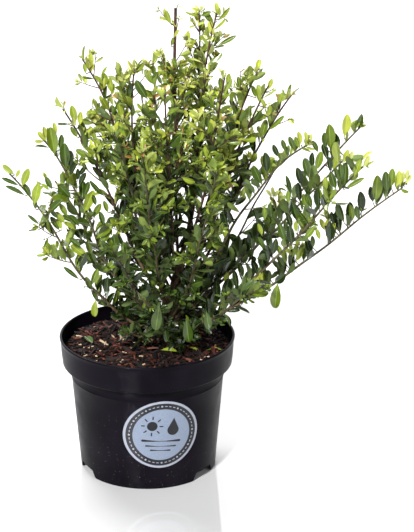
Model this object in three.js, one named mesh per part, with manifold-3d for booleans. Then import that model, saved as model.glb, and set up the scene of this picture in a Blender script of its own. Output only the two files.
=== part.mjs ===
// A young holly shrub with small oval leaves: many slender shoots fanning out from one short trunk,
// growing in a round black nursery pot of bark mix.
//
// Units are millimetres and +Z is up.  The origin is the centre of the pot's flat underside, +X is
// to the right and -Y is to the front, the side that carries the round label.

import * as THREE from 'three';
import { mergeVertices } from 'three/addons/utils/BufferGeometryUtils.js';
import Module from 'manifold-3d';

const wasm = await Module();
wasm.setup();

// ---------------------------------------------------------------- driving dimensions

// Clearance between neighbouring pieces.
const GAP = 0.3;
// Joined solids are smoothed to this, and their corners are set on a grid of this spacing.
const FINEST = 0.03;
const GRID = 0.002;

// The pot: a thin moulded shell with an upright collar, a foot ring and a raised drain channel.
const POT = {
  rimRadius: 85,
  height: 135,
  collarHeight: 27.5,
  collarFootRadius: 82.4,
  bodyTopRadius: 75,
  footRadius: 66,
  wall: 1.6,
  floor: 2,
  lip: 2.4,
  bevel: 0.6,
  channelHeight: 8.5,
  channelInnerRadius: 44,
  channelSlope: 3,
  segments: 48,
};
const NOTCH = {
  count: 3, firstDegrees: 326, width: 33, height: 8, taper: 5, kneeHeight: 4.4, kneeTaper: 1.5, depth: 18,
};

// The bark mix that fills the pot.
const MIX = { top: 124, roughness: 1.6, seatRadius: 16, edgeDrop: 3, segments: 32, rings: 4 };

// The round label on the body of the pot.
const LABEL = { radius: 36, thickness: 0.4, height: 59.5, degrees: -78, sides: 36 };

// The trunk stands on the mix, leans to the right and stops where its last shoots leave it.
const TRUNK = {
  x: 18, y: 8, height: 78, lean: [12, 2], bend: 1.2, tipRadius: 3.2, baseRadius: 6.4, sides: 8, steps: 8,
};
const FLARE = { extra: 3.4, height: 5.5 };

// One row for each long shoot.  Its tip is given by its direction round the foot of the trunk
// (degrees, anticlockwise from +X), its reach from the foot and its height over the mix.  "root" is
// the height at which it leaves the trunk, "leave" and "arrive" are its slopes there and at its
// tip, and "bare" is the share of its length that is a bare bough.
const SHOOTS = [
  { name: 'left_low', degrees: -160, reach: 159, height: 199, root: 10, leave: 10, arrive: 38, bare: 0.3 },
  { name: 'left_mid', degrees: 174, reach: 123, height: 209, root: 17, leave: 22, arrive: 44, bare: 0.3 },
  { name: 'left_high', degrees: -157, reach: 106, height: 256, root: 32, leave: 56, arrive: 56, bare: 0.3 },
  { name: 'left_upper', degrees: 163, reach: 86, height: 285, root: 48, leave: 62, arrive: 54, bare: 0.32 },
  { name: 'left_crest', degrees: -116, reach: 58, height: 300, root: 59, leave: 50, arrive: 104, bare: 0 },
  { name: 'top_right', degrees: 64, reach: 74, height: 319, root: 66, leave: 40, arrive: 92, bare: 0.35 },
  { name: 'top_far_right', degrees: 31, reach: 60, height: 330, root: 64, leave: 66, arrive: 70, bare: 0.35 },
  { name: 'right_crest', degrees: -48, reach: 85, height: 294, root: 51, leave: 62, arrive: 78, bare: 0.3 },
  { name: 'right_high', degrees: 21, reach: 98, height: 270, root: 50, leave: 44, arrive: 58, bare: 0.3 },
  { name: 'right_upper', degrees: -14, reach: 104, height: 274, root: 46, leave: 56, arrive: 60, bare: 0.3 },
  { name: 'right_shoulder', degrees: 8, reach: 126, height: 251, root: 40, leave: 46, arrive: 50, bare: 0.3 },
  { name: 'right_front', degrees: -27, reach: 154, height: 236, root: 33, leave: 44, arrive: 37, bare: 0.3 },
  { name: 'right_far', degrees: 13, reach: 198, height: 210, root: 19, leave: 30, arrive: 42, bare: 0.3 },
  { name: 'right_mid', degrees: -1, reach: 180, height: 199, root: 27, leave: 36, arrive: 48, bare: 0 },
  { name: 'right_spread', degrees: -16, reach: 201, height: 209, root: 15, leave: 22, arrive: 44, bare: 0.3 },
  { name: 'right_low', degrees: -5, reach: 232, height: 179, root: 9, leave: 16, arrive: 37, bare: 0.28 },
  { name: 'right_foot', degrees: -38, reach: 126, height: 90, root: 9, leave: 10, arrive: 26, bare: 0 },
  { name: 'front_top', degrees: -89, reach: 78, height: 283, root: 64, leave: 62, arrive: 76, bare: 0.3 },
  { name: 'front_left', degrees: -119, reach: 96, height: 247, root: 38, leave: 54, arrive: 62, bare: 0.28 },
  { name: 'front_mid', degrees: -100, reach: 112, height: 237, root: 27, leave: 44, arrive: 66, bare: 0.28 },
  { name: 'front_right', degrees: -62, reach: 112, height: 217, root: 20, leave: 40, arrive: 60, bare: 0 },
  { name: 'front_low', degrees: -115, reach: 117, height: 139, root: 12, leave: 24, arrive: 44, bare: 0 },
  { name: 'back_top', degrees: 101, reach: 65, height: 271, root: 62, leave: 50, arrive: 80, bare: 0 },
  { name: 'back_left', degrees: 135, reach: 101, height: 225, root: 42, leave: 50, arrive: 58, bare: 0 },
  { name: 'back_mid', degrees: 104, reach: 107, height: 229, root: 28, leave: 44, arrive: 58, bare: 0.25 },
  { name: 'back_right', degrees: 57, reach: 137, height: 222, root: 35, leave: 46, arrive: 56, bare: 0 },
  { name: 'back_low_left', degrees: 152, reach: 128, height: 151, root: 10, leave: 22, arrive: 46, bare: 0 },
  { name: 'back_low', degrees: 109, reach: 149, height: 138, root: 12, leave: 18, arrive: 42, bare: 0 },
  { name: 'back_low_right', degrees: 44, reach: 157, height: 149, root: 11, leave: 22, arrive: 44, bare: 0 },
];

// The leader carries the trunk on, to the top of the crown.
const LEADER = { degrees: 26, reach: 12, height: 338, leave: 86, arrive: 93 };

// Short leafy shoots in a skirt round the foot, in the gaps between the low shoots, their reach and
// height stepping from one to the next.
const SKIRT = {
  degrees: [-140, -90, -62, 22, 78, 178],
  root: 4, leave: 14, arrive: 34, leafSize: 0.78,
  reach: 52, reachSpread: 18, reachStep: 5, height: 24, heightSpread: 30, heightStep: 4,
};

// How stout a shoot is: thicker the longer it is, and tapering to its tip.
const SHOOT_RADIUS = { tip: 0.95, root: 0.2, lengthPerRadius: 330, taper: 0.8 };
const SHOOT_HANDLE = 0.36;
const BOUGH = { sides: 5, steps: 4 };
const STEM = { sides: 3, step: 34, fewestSteps: 3 };
const AXIS_POINTS = 44;

// The rule that foliage grows by: side twigs and leaves turn round their shoot by one steady angle.
// Places are counted back from a shoot's tip.  Each try turns a twig or leaf further round and
// scales it, and the first try that fits its space is kept.
const GROWTH = { seed: 20260, turn: 137.5 };
const TWIG = {
  first: 22, step: 74, last: 12, share: 0.42, shortest: 16, longest: 46, spread: [0.8, 1.2],
  slope: 48, rise: 0.25, sides: 3, radius: 0.8, tipRadius: 0.65, sunk: 0.4,
  leafStep: 9.75, firstLeaf: 7.8, lastLeaf: 7, leafSize: 0.95, tipLeafSize: 0.9,
  tries: [[0, 1], [45, 1], [-45, 1], [0, 0.6], [60, 0.6], [-60, 0.6]],
};
const LEAF = {
  length: 35, width: 16, thickness: 1.1, widest: 0.56, sunk: 1.2, tipSize: 0.8, spread: [0.8, 1.05],
  first: 11, step: 13, last: 10, slope: 46, rise: 0.3, droop: 0.4,
  tries: [
    [0, 1], [35, 1], [-35, 1], [70, 1], [-70, 1], [0, 0.75], [50, 0.75], [-50, 0.75], [180, 0.75],
    [0, 0.55], [60, 0.55], [-60, 0.55], [120, 0.55], [-120, 0.55], [180, 0.55],
  ],
};

// The clearances that keep a mass of foliage to its own space.
const SPACE = {
  margin: 0.8, limbClearance: 0.8, trunkTopClearance: 4, leafSpread: 4.5, leafGap: 0.3, mixClearance: 2.5,
};

const COLOURS = {
  pot: 0x1d1d20,
  mix: 0x3a2318,
  label: 0xb4c2d6,
  bark: 0x4a3a2c,
  foliage: 0x5f8a2e,
};

// ---------------------------------------------------------------- small tools

const UP = new THREE.Vector3(0, 0, 1);

function radians(degrees) {
  return THREE.MathUtils.degToRad(degrees);
}

function direction(degrees, slope) {
  const flat = Math.cos(radians(slope));
  return new THREE.Vector3(
    Math.cos(radians(degrees)) * flat, Math.sin(radians(degrees)) * flat, Math.sin(radians(slope)));
}

// A seeded stream of numbers from 0 to 1.
function randomStream(seed) {
  let state = seed >>> 0;
  return function next() {
    state = (state + 0x6D2B79F5) >>> 0;
    let mixed = Math.imul(state ^ (state >>> 15), state | 1);
    mixed ^= mixed + Math.imul(mixed ^ (mixed >>> 7), mixed | 61);
    return ((mixed ^ (mixed >>> 14)) >>> 0) / 4294967296;
  };
}

// A geometry's corners and faces, corners closer than a distance being made one.
function weld(geometry, distance) {
  const bare = new THREE.BufferGeometry();
  bare.setAttribute('position', geometry.getAttribute('position').clone());
  if (geometry.index) {
    bare.setIndex(geometry.index.clone());
  }
  const merged = mergeVertices(bare, distance);
  const corners = merged.index.array;
  const faces = [];
  for (let i = 0; i < corners.length; i += 3) {
    const [a, b, c] = [corners[i], corners[i + 1], corners[i + 2]];
    if (a !== b && b !== c && c !== a) {
      faces.push([a, b, c]);
    }
  }
  return { places: merged.getAttribute('position').array, faces };
}

// A closed geometry as a solid that can be joined and cut.
function toSolid(geometry) {
  const { places, faces } = weld(geometry, 1e-4);
  return new wasm.Manifold(new wasm.Mesh({
    numProp: 3,
    vertProperties: Float32Array.from(places),
    triVerts: Uint32Array.from(faces.flat()),
  }));
}

// A solid's surface, its corners set on the grid so that no two are closer than the grid's spacing.
function toGeometry(solid) {
  const mesh = solid.getMesh();
  const places = Float32Array.from(mesh.vertProperties, (value) => Math.round(value / GRID) * GRID);
  const geometry = new THREE.BufferGeometry();
  geometry.setAttribute('position', new THREE.BufferAttribute(places, 3));
  geometry.setIndex(new THREE.BufferAttribute(Uint32Array.from(mesh.triVerts), 1));
  geometry.computeVertexNormals();
  return geometry;
}

// The largest single body of a solid: loose scraps and sealed hollows are left behind.
function mainBody(solid) {
  const bodies = solid.decompose();
  bodies.sort((a, b) => b.volume() - a.volume());
  return bodies[0];
}

function lathe(profile, segments) {
  const points = profile.map(([radius, height]) => new THREE.Vector2(radius, height));
  return new THREE.LatheGeometry(points, segments).rotateX(Math.PI / 2);
}

// A round limb along a curve: a closed cylinder bent along it, its radius given at each share of
// the way from the curve's start to its end.
function limb(curve, radiusAt, sides, steps) {
  const geometry = new THREE.CylinderGeometry(1, 1, 1, sides, steps);
  const frames = curve.computeFrenetFrames(steps);
  const position = geometry.getAttribute('position');
  const point = new THREE.Vector3();
  for (let i = 0; i < position.count; i += 1) {
    const step = Math.round((position.getY(i) + 0.5) * steps);
    const share = step / steps;
    const radius = radiusAt(share);
    curve.getPoint(share, point);
    point.addScaledVector(frames.normals[step], position.getX(i) * radius);
    point.addScaledVector(frames.binormals[step], -position.getZ(i) * radius);
    position.setXYZ(i, point.x, point.y, point.z);
  }
  return geometry;
}

// The stretch of a curve between two shares of its length, drawn in straight steps.
class Stretch extends THREE.Curve {
  constructor(curve, from, to, steps) {
    super();
    this.places = [];
    for (let i = 0; i <= steps; i += 1) {
      this.places.push(curve.getPointAt(THREE.MathUtils.lerp(from, to, i / steps)));
    }
  }

  getPoint(share, target = new THREE.Vector3()) {
    const steps = this.places.length - 1;
    const step = Math.min(Math.floor(share * steps), steps - 1);
    return target.lerpVectors(this.places[step], this.places[step + 1], share * steps - step);
  }
}

// ---------------------------------------------------------------- pot, mix and label

function bodyRadius(height) {
  const shoulder = POT.height - POT.collarHeight;
  return THREE.MathUtils.lerp(POT.footRadius, POT.bodyTopRadius, height / shoulder);
}

function collarRadius(height) {
  const shoulder = POT.height - POT.collarHeight;
  return THREE.MathUtils.lerp(POT.collarFootRadius, POT.rimRadius, (height - shoulder) / POT.collarHeight);
}

function potShell() {
  const shoulder = POT.height - POT.collarHeight;
  const channelTop = POT.channelHeight + POT.wall;
  const lipFoot = POT.height - POT.lip;
  const floorEdge = POT.channelInnerRadius;
  const profile = [
    [0, 0],
    [floorEdge, 0],
    [floorEdge + POT.channelSlope, POT.channelHeight],
    [bodyRadius(POT.channelHeight) - POT.wall - POT.bevel, POT.channelHeight],
    [POT.footRadius - POT.wall, 0],
    [POT.footRadius, 0],
    [bodyRadius(shoulder - POT.bevel), shoulder - POT.bevel],
    [POT.bodyTopRadius + POT.bevel, shoulder],
    [POT.collarFootRadius - POT.bevel, shoulder],
    [POT.collarFootRadius, shoulder + POT.bevel],
    [collarRadius(lipFoot) - POT.bevel, lipFoot],
    [POT.rimRadius, lipFoot + POT.bevel],
    [POT.rimRadius - POT.bevel, POT.height],
    [POT.rimRadius - POT.lip, POT.height],
    [collarRadius(shoulder + POT.wall) - POT.wall, shoulder + POT.wall],
    [POT.bodyTopRadius - POT.wall, shoulder + POT.wall],
    [bodyRadius(channelTop) - POT.wall, channelTop],
    [floorEdge + POT.wall, channelTop],
    [floorEdge - POT.wall, POT.floor],
    [0, POT.floor],
  ];
  return lathe(profile, POT.segments);
}

// Drain notches: low sloping-sided arches cut through the foot ring from outside.
function notchCutter(degrees) {
  const half = NOTCH.width / 2;
  const below = POT.bevel;
  const outline = new THREE.Shape();
  outline.moveTo(-half, -below);
  outline.lineTo(half, -below);
  outline.lineTo(half - NOTCH.kneeTaper, NOTCH.kneeHeight);
  outline.lineTo(half - NOTCH.taper, NOTCH.height);
  outline.lineTo(-half + NOTCH.taper, NOTCH.height);
  outline.lineTo(-half + NOTCH.kneeTaper, NOTCH.kneeHeight);
  const cutter = new THREE.ExtrudeGeometry(outline, { depth: NOTCH.depth, bevelEnabled: false, steps: 1 });
  cutter.rotateX(Math.PI / 2);
  cutter.translate(0, -POT.footRadius + NOTCH.depth * 0.75, 0);
  cutter.rotateZ(radians(degrees + 90));
  return cutter;
}

function makePot() {
  let pot = toSolid(potShell());
  for (let i = 0; i < NOTCH.count; i += 1) {
    const degrees = NOTCH.firstDegrees + (i * 360) / NOTCH.count;
    pot = pot.subtract(toSolid(notchCutter(degrees)));
  }
  return toGeometry(mainBody(pot));
}

// Height of the mix at a place: gently uneven, lower at the wall and flat round the trunk's foot.
function mixHeight(x, y) {
  const fromFoot = Math.hypot(x - TRUNK.x, y - TRUNK.y);
  const calm = THREE.MathUtils.smoothstep(fromFoot, MIX.seatRadius, MIX.seatRadius * 2);
  const waves = Math.sin(x * 0.11 + 1.3) + Math.cos(y * 0.13 - x * 0.05)
    + 0.6 * Math.sin(x * 0.21 + y * 0.27);
  const edge = THREE.MathUtils.smoothstep(Math.hypot(x, y), 55, 82);
  return MIX.top + calm * waves * MIX.roughness * 0.5 - edge * MIX.edgeDrop;
}

function makeMix() {
  const inside = POT.wall + GAP * 2;
  const ledgeTop = POT.height - POT.collarHeight + POT.wall + GAP;
  const channelTop = POT.channelHeight + POT.wall + GAP;
  const floorTop = POT.floor + GAP;
  const edge = collarRadius(MIX.top - MIX.edgeDrop - MIX.roughness) - inside - GAP;
  const profile = [
    [0, floorTop],
    [POT.channelInnerRadius - inside, floorTop],
    [POT.channelInnerRadius + POT.wall - GAP * 2, channelTop],
    [bodyRadius(channelTop) - inside, channelTop],
    [POT.bodyTopRadius - inside, ledgeTop],
    [collarRadius(ledgeTop) - inside - GAP, ledgeTop],
  ];
  for (let ring = 0; ring <= MIX.rings; ring += 1) {
    profile.push([edge * (1 - ring / MIX.rings), MIX.top]);
  }
  const geometry = lathe(profile, MIX.segments);
  const position = geometry.getAttribute('position');
  for (let i = 0; i < position.count; i += 1) {
    if (position.getZ(i) > MIX.top - 0.01) {
      position.setZ(i, mixHeight(position.getX(i), position.getY(i)));
    }
  }
  return toGeometry(toSolid(geometry));
}

// The label: a thin skin over the sloping wall, cut to a disc by a round cutter from the front.
function makeLabel() {
  const inner = GAP;
  const outer = inner + LABEL.thickness;
  const low = LABEL.height - LABEL.radius - 1;
  const high = LABEL.height + LABEL.radius + 1;
  const skin = lathe([
    [bodyRadius(low) + inner, low],
    [bodyRadius(low) + outer, low],
    [bodyRadius(high) + outer, high],
    [bodyRadius(high) + inner, high],
    [bodyRadius(low) + inner, low],
  ], POT.segments);
  const reach = POT.rimRadius;
  const cutter = new THREE.CylinderGeometry(LABEL.radius, LABEL.radius, reach, LABEL.sides);
  cutter.translate(0, -reach / 2, LABEL.height);
  cutter.rotateZ(radians(LABEL.degrees + 90));
  return toGeometry(mainBody(toSolid(skin).intersect(toSolid(cutter))));
}

// ---------------------------------------------------------------- trunk and shoots

// Centre of the trunk at a height over the mix.
function trunkCentre(height) {
  const share = Math.max(height, 0) / TRUNK.height;
  return new THREE.Vector3(
    TRUNK.x + TRUNK.lean[0] * share ** TRUNK.bend, TRUNK.y + TRUNK.lean[1] * share, MIX.top + GAP + height);
}

function trunkRadius(height) {
  const share = THREE.MathUtils.clamp(height / TRUNK.height, 0, 1);
  const flare = FLARE.extra * Math.exp(-height / FLARE.height);
  return THREE.MathUtils.lerp(TRUNK.baseRadius, TRUNK.tipRadius, share) + flare;
}

// The trunk's body, or with a margin the larger body that keeps its neighbours off it.  Its steps
// are closer together at the foot, where it flares.
function trunkSolid(margin) {
  const geometry = new THREE.CylinderGeometry(1, 1, 1, TRUNK.sides, TRUNK.steps);
  const position = geometry.getAttribute('position');
  for (let i = 0; i < position.count; i += 1) {
    const share = Math.round((position.getY(i) + 0.5) * TRUNK.steps) / TRUNK.steps;
    const height = TRUNK.height * share ** 1.5;
    const centre = trunkCentre(height);
    const radius = trunkRadius(height) + margin;
    const end = share === 1 ? margin : 0;
    centre.add(new THREE.Vector3(position.getX(i) * radius, -position.getZ(i) * radius, end));
    position.setXYZ(i, centre.x, centre.y, centre.z);
  }
  return toSolid(geometry);
}

// A shoot's axis: it leaves the trunk at one slope, bends evenly and arrives at its tip at another.
function shootCurve(start, tip, leave, arrive) {
  const across = THREE.MathUtils.radToDeg(Math.atan2(tip.y - start.y, tip.x - start.x));
  const handle = start.distanceTo(tip) * SHOOT_HANDLE;
  return new THREE.CubicBezierCurve3(
    start,
    start.clone().addScaledVector(direction(across, leave), handle),
    tip.clone().addScaledVector(direction(across, arrive), -handle),
    tip,
  );
}

function tipPlace({ degrees, reach, height }) {
  const out = direction(degrees, 0).multiplyScalar(reach);
  return new THREE.Vector3(TRUNK.x + out.x, TRUNK.y + out.y, MIX.top + height);
}

function makeShoot(row, start) {
  const curve = shootCurve(start, tipPlace(row), row.leave, row.arrive);
  const length = curve.getLength();
  const rootRadius = SHOOT_RADIUS.root + SHOOT_RADIUS.tip + length / SHOOT_RADIUS.lengthPerRadius;
  return {
    name: row.name,
    curve,
    length,
    bare: row.bare,
    leafSize: row.leafSize ?? 1,
    radiusAt: (share) => (
      THREE.MathUtils.lerp(SHOOT_RADIUS.tip, rootRadius, (1 - share) ** SHOOT_RADIUS.taper)),
    axis: curve.getSpacedPoints(AXIS_POINTS),
  };
}

function skirtRows() {
  const count = SKIRT.degrees.length;
  return SKIRT.degrees.map((degrees, i) => ({
    name: `skirt_${i + 1}`,
    degrees,
    reach: SKIRT.reach + (SKIRT.reachSpread * ((i * SKIRT.reachStep) % count)) / count,
    height: SKIRT.height + (SKIRT.heightSpread * ((i * SKIRT.heightStep) % count)) / count,
    root: SKIRT.root,
    leave: SKIRT.leave,
    arrive: SKIRT.arrive,
    leafSize: SKIRT.leafSize,
    bare: 0,
  }));
}

function allShoots() {
  const shoots = [...SHOOTS, ...skirtRows()].map((row) => makeShoot(row, trunkCentre(row.root)));
  const leaderFoot = trunkCentre(TRUNK.height + GAP);
  shoots.push(makeShoot({ name: 'leader', bare: 0, ...LEADER }, leaderFoot));
  return shoots;
}

// ---------------------------------------------------------------- foliage

// A unit leaf: a thin kite along +Y from its root at the origin, widest past its middle, flat
// below and with a low ridge above.
function leafBlank() {
  const corners = [[0, 0, 0], [0, 1, 0], [-0.5, LEAF.widest, 0], [0.5, LEAF.widest, 0], [0, LEAF.widest, 1]];
  const faces = [[0, 2, 1], [0, 1, 3], [0, 4, 2], [2, 4, 1], [1, 4, 3], [3, 4, 0]];
  const blank = new THREE.BufferGeometry();
  blank.setAttribute('position', new THREE.Float32BufferAttribute(corners.flat(), 3));
  blank.setIndex(faces.flat());
  return blank;
}

const LEAF_BLANK = leafBlank();

function leafPlacement(root, along, facing, size) {
  const side = new THREE.Vector3().crossVectors(along, facing).normalize();
  const normal = new THREE.Vector3().crossVectors(side, along).normalize();
  const length = LEAF.length * size;
  return new THREE.Matrix4().makeBasis(
    side.clone().multiplyScalar(LEAF.width * size),
    along.clone().multiplyScalar(length),
    normal.clone().multiplyScalar(LEAF.thickness),
  ).setPosition(root);
}

// Places on a unit leaf that are tested against its surroundings, those on its midrib first.
const SPINE_PROBES = 4;
const LEAF_PROBES = [
  [0, 0.3], [0, LEAF.widest], [0, 0.8], [0, 1], [-0.5, LEAF.widest], [0.5, LEAF.widest],
  [-0.3, 0.34], [0.3, 0.34], [-0.28, 0.8], [0.28, 0.8], [-0.25, LEAF.widest], [0.25, LEAF.widest],
];

function leafProbes(placement) {
  return LEAF_PROBES.map(([across, along]) => new THREE.Vector3(across, along, 0).applyMatrix4(placement));
}

function distanceToAxis(point, axis) {
  let nearest = Infinity;
  for (const place of axis) {
    nearest = Math.min(nearest, place.distanceToSquared(point));
  }
  return Math.sqrt(nearest);
}

// Whether a point lies in the space that belongs to a shoot: nearer to its axis than to any other's,
// clear of the other shoots, the trunk, the mix and the pot.
function inSpace(point, shoot, shoots) {
  if (point.z < mixHeight(point.x, point.y) + SPACE.mixClearance) {
    return false;
  }
  const overRim = Math.hypot(point.x, point.y) > POT.rimRadius - POT.lip - SPACE.mixClearance;
  if (overRim && point.z < POT.height + SPACE.mixClearance) {
    return false;
  }
  const height = point.z - MIX.top;
  if (height < TRUNK.height + SPACE.trunkTopClearance) {
    const centre = trunkCentre(Math.min(height, TRUNK.height));
    if (centre.distanceTo(point) < trunkRadius(height) + SPACE.limbClearance) {
      return false;
    }
  }
  const own = distanceToAxis(point, shoot.axis);
  for (const other of shoots) {
    if (other !== shoot && distanceToAxis(point, other.axis) < own + SPACE.margin) {
      return false;
    }
  }
  return true;
}

// Clear of the shoot's own bare bough, which is a piece of its own.
function clearOfOwnBough(point, shoot) {
  const last = Math.ceil(shoot.bare * AXIS_POINTS);
  for (let i = 0; i < last; i += 1) {
    if (shoot.axis[i].distanceTo(point) < shoot.radiusAt(i / AXIS_POINTS) + SPACE.limbClearance) {
      return false;
    }
  }
  return true;
}

// A direction that leaves a stem at a slope, turned round it and drawn towards the light.
function sideways(tangent, turn, slope, rise) {
  const level = new THREE.Vector3().crossVectors(tangent, UP);
  if (level.lengthSq() < 1e-4) {
    level.set(1, 0, 0);
  }
  const side = level.normalize().applyAxisAngle(tangent, radians(turn)).addScaledVector(UP, rise);
  side.addScaledVector(tangent, -side.dot(tangent)).normalize();
  return tangent.clone().multiplyScalar(Math.cos(radians(slope)))
    .addScaledVector(side, Math.sin(radians(slope)));
}

// Whether two solids lie closer together than a distance.
function nearerThan(distance, one, other) {
  const a = one.boundingBox();
  const b = other.boundingBox();
  const apart = [0, 1, 2].some((i) => a.min[i] > b.max[i] + distance || b.min[i] > a.max[i] + distance);
  return !apart && one.minGap(other, distance) < distance;
}

// Whether every edge of a solid's surface still lies between just two faces on the grid.
function isSound(solid) {
  const uses = new Map();
  for (const [a, b, c] of weld(toGeometry(solid), GRID / 2).faces) {
    for (const [from, to] of [[a, b], [b, c], [c, a]]) {
      const edge = `${Math.min(from, to)},${Math.max(from, to)}`;
      uses.set(edge, (uses.get(edge) ?? 0) + 1);
    }
  }
  return [...uses.values()].every((count) => count === 2);
}

// A mass joined into one body.  Where its surface would pinch, one leaf is left out.
function fuse(limbs, leaves) {
  const join = (kept) => mainBody(wasm.Manifold.union([...limbs, ...kept]).simplify(FINEST));
  const whole = join(leaves);
  if (isSound(whole)) {
    return whole;
  }
  for (const spare of leaves) {
    const rest = join(leaves.filter((leaf) => leaf !== spare));
    if (isSound(rest)) {
      return rest;
    }
  }
  throw new Error('a mass of foliage does not join into one sound body');
}

// One mass of foliage: the shoot's leafy stem, its side twigs and their leaves, all fused.
function growFoliage(shoot, shoots, aroundTrunk, random) {
  const from = shoot.bare > 0 ? shoot.bare + GAP / shoot.length : 0;
  const tipLeaf = LEAF.length * LEAF.tipSize * shoot.leafSize;
  const to = 1 - (tipLeaf - LEAF.sunk) / shoot.length;
  const stemLength = shoot.length * (to - from);
  const stemSteps = Math.max(STEM.fewestSteps, Math.round(stemLength / STEM.step));
  const stem = new Stretch(shoot.curve, from, to, stemSteps);
  const stemRadius = (share) => shoot.radiusAt(THREE.MathUtils.lerp(from, to, share));
  const stemSolid = toSolid(limb(stem, stemRadius, STEM.sides, stemSteps));
  const limbs = [shoot.bare > 0 ? stemSolid : mainBody(stemSolid.subtract(aroundTrunk))];
  const leaves = [];
  const leafSpines = [];

  function fits(probes) {
    return probes.every((point) => inSpace(point, shoot, shoots) && clearOfOwnBough(point, shoot));
  }

  // Touching nothing of its own mass but the limb that it grows from.
  function standsFree(solid, parent) {
    return [...limbs, ...leaves].every((other) => (
      other === parent || !nearerThan(SPACE.leafGap, solid, other)));
  }

  function addLeaf(parent, root, tangent, turn, slope, size) {
    for (const [nudge, scale] of LEAF.tries) {
      const along = sideways(tangent, turn + nudge, slope, LEAF.rise);
      const facing = UP.clone().addScaledVector(along, -LEAF.droop);
      const placement = leafPlacement(root, along, facing, size * scale * shoot.leafSize);
      const probes = leafProbes(placement);
      const spine = probes.slice(0, SPINE_PROBES);
      const crowded = leafSpines.some((other) => (
        other.some((place) => spine.some((point) => point.distanceTo(place) < SPACE.leafSpread))));
      if (!crowded && fits(probes)) {
        const leaf = toSolid(LEAF_BLANK.clone().applyMatrix4(placement));
        if (standsFree(leaf, parent)) {
          leafSpines.push(spine);
          leaves.push(leaf);
          return;
        }
      }
    }
  }

  function addTwig(share, turn) {
    const root = stem.getPoint(share);
    const tangent = stem.getTangent(share);
    const fullest = THREE.MathUtils.clamp(stemLength * (1 - share) * TWIG.share, TWIG.shortest, TWIG.longest);
    const length = fullest * THREE.MathUtils.lerp(...TWIG.spread, random());
    for (const [nudge, scale] of TWIG.tries) {
      const heading = sideways(tangent, turn + nudge, TWIG.slope, TWIG.rise);
      const reach = length * scale;
      const foot = root.clone().addScaledVector(heading, TWIG.sunk);
      const path = new THREE.LineCurve3(foot, root.clone().addScaledVector(heading, reach));
      const taper = (along) => THREE.MathUtils.lerp(TWIG.radius, TWIG.tipRadius, along);
      const twig = toSolid(limb(path, taper, TWIG.sides, 1));
      if (fits([path.getPoint(0.4), path.getPoint(0.7), path.getPoint(1)]) && standsFree(twig, limbs[0])) {
        limbs.push(twig);
        addLeaf(twig, path.getPoint(1 - LEAF.sunk / reach), heading, turn, 0, TWIG.tipLeafSize);
        let turned = turn;
        for (let place = reach - TWIG.firstLeaf; place > TWIG.lastLeaf; place -= TWIG.leafStep) {
          turned += GROWTH.turn;
          addLeaf(twig, path.getPoint(place / reach), heading, turned, LEAF.slope, TWIG.leafSize);
        }
        return;
      }
    }
  }

  const offset = random() * 360;
  addLeaf(limbs[0], stem.getPoint(1 - LEAF.sunk / stemLength), stem.getTangent(1), offset, 0, LEAF.tipSize);
  let twigTurn = offset;
  for (let place = stemLength - TWIG.first; place > TWIG.last; place -= TWIG.step) {
    addTwig(place / stemLength, twigTurn);
    twigTurn += GROWTH.turn;
  }
  let leafTurn = offset + 90;
  for (let place = stemLength - LEAF.first; place > LEAF.last; place -= LEAF.step) {
    const size = THREE.MathUtils.lerp(...LEAF.spread, random());
    const share = place / stemLength;
    addLeaf(limbs[0], stem.getPoint(share), stem.getTangent(share), leafTurn, LEAF.slope, size);
    leafTurn += GROWTH.turn;
  }
  return fuse(limbs, leaves);
}

// ---------------------------------------------------------------- the whole plant

function material(colour, roughness) {
  return new THREE.MeshStandardMaterial({ color: colour, roughness, metalness: 0 });
}

function addPiece(group, name, geometry, look) {
  const mesh = new THREE.Mesh(geometry, look);
  mesh.name = name;
  group.add(mesh);
}

function buildShrub() {
  const potted = new THREE.Group();
  const barkLook = material(COLOURS.bark, 0.85);
  const foliageLook = material(COLOURS.foliage, 0.45);
  addPiece(potted, 'pot', makePot(), material(COLOURS.pot, 0.42));
  addPiece(potted, 'potting_mix', makeMix(), material(COLOURS.mix, 0.95));
  addPiece(potted, 'label', makeLabel(), material(COLOURS.label, 0.6));
  addPiece(potted, 'trunk', toGeometry(trunkSolid(0)), barkLook);

  const shoots = allShoots();
  const aroundTrunk = trunkSolid(GAP);
  const random = randomStream(GROWTH.seed);
  for (const shoot of shoots) {
    if (shoot.bare > 0) {
      const stretch = new Stretch(shoot.curve, 0, shoot.bare, BOUGH.steps);
      const radiusAt = (share) => shoot.radiusAt(share * shoot.bare);
      const bough = toSolid(limb(stretch, radiusAt, BOUGH.sides, BOUGH.steps)).subtract(aroundTrunk);
      addPiece(potted, `bough_${shoot.name}`, toGeometry(mainBody(bough)), barkLook);
    }
    const foliage = growFoliage(shoot, shoots, aroundTrunk, random);
    addPiece(potted, `foliage_${shoot.name}`, toGeometry(foliage), foliageLook);
  }
  return potted;
}

export default buildShrub();
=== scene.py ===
"""The looks of a young small-leaved holly shrub that grows in a round black nursery pot.

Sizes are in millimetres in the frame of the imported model: +Z is up, -Y is the front, and the origin
is the centre of the pot's underside.  Every mesh is gathered in millimetres from arrays and scaled
once, by MM, when its piece is made.
"""

from math import atan2, comb, cos, exp, hypot, log, pi, radians, sin, sqrt
from types import SimpleNamespace as Named

import bpy
import numpy as np
from mathutils import Matrix, Vector, noise
from numpy.linalg import norm


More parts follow.
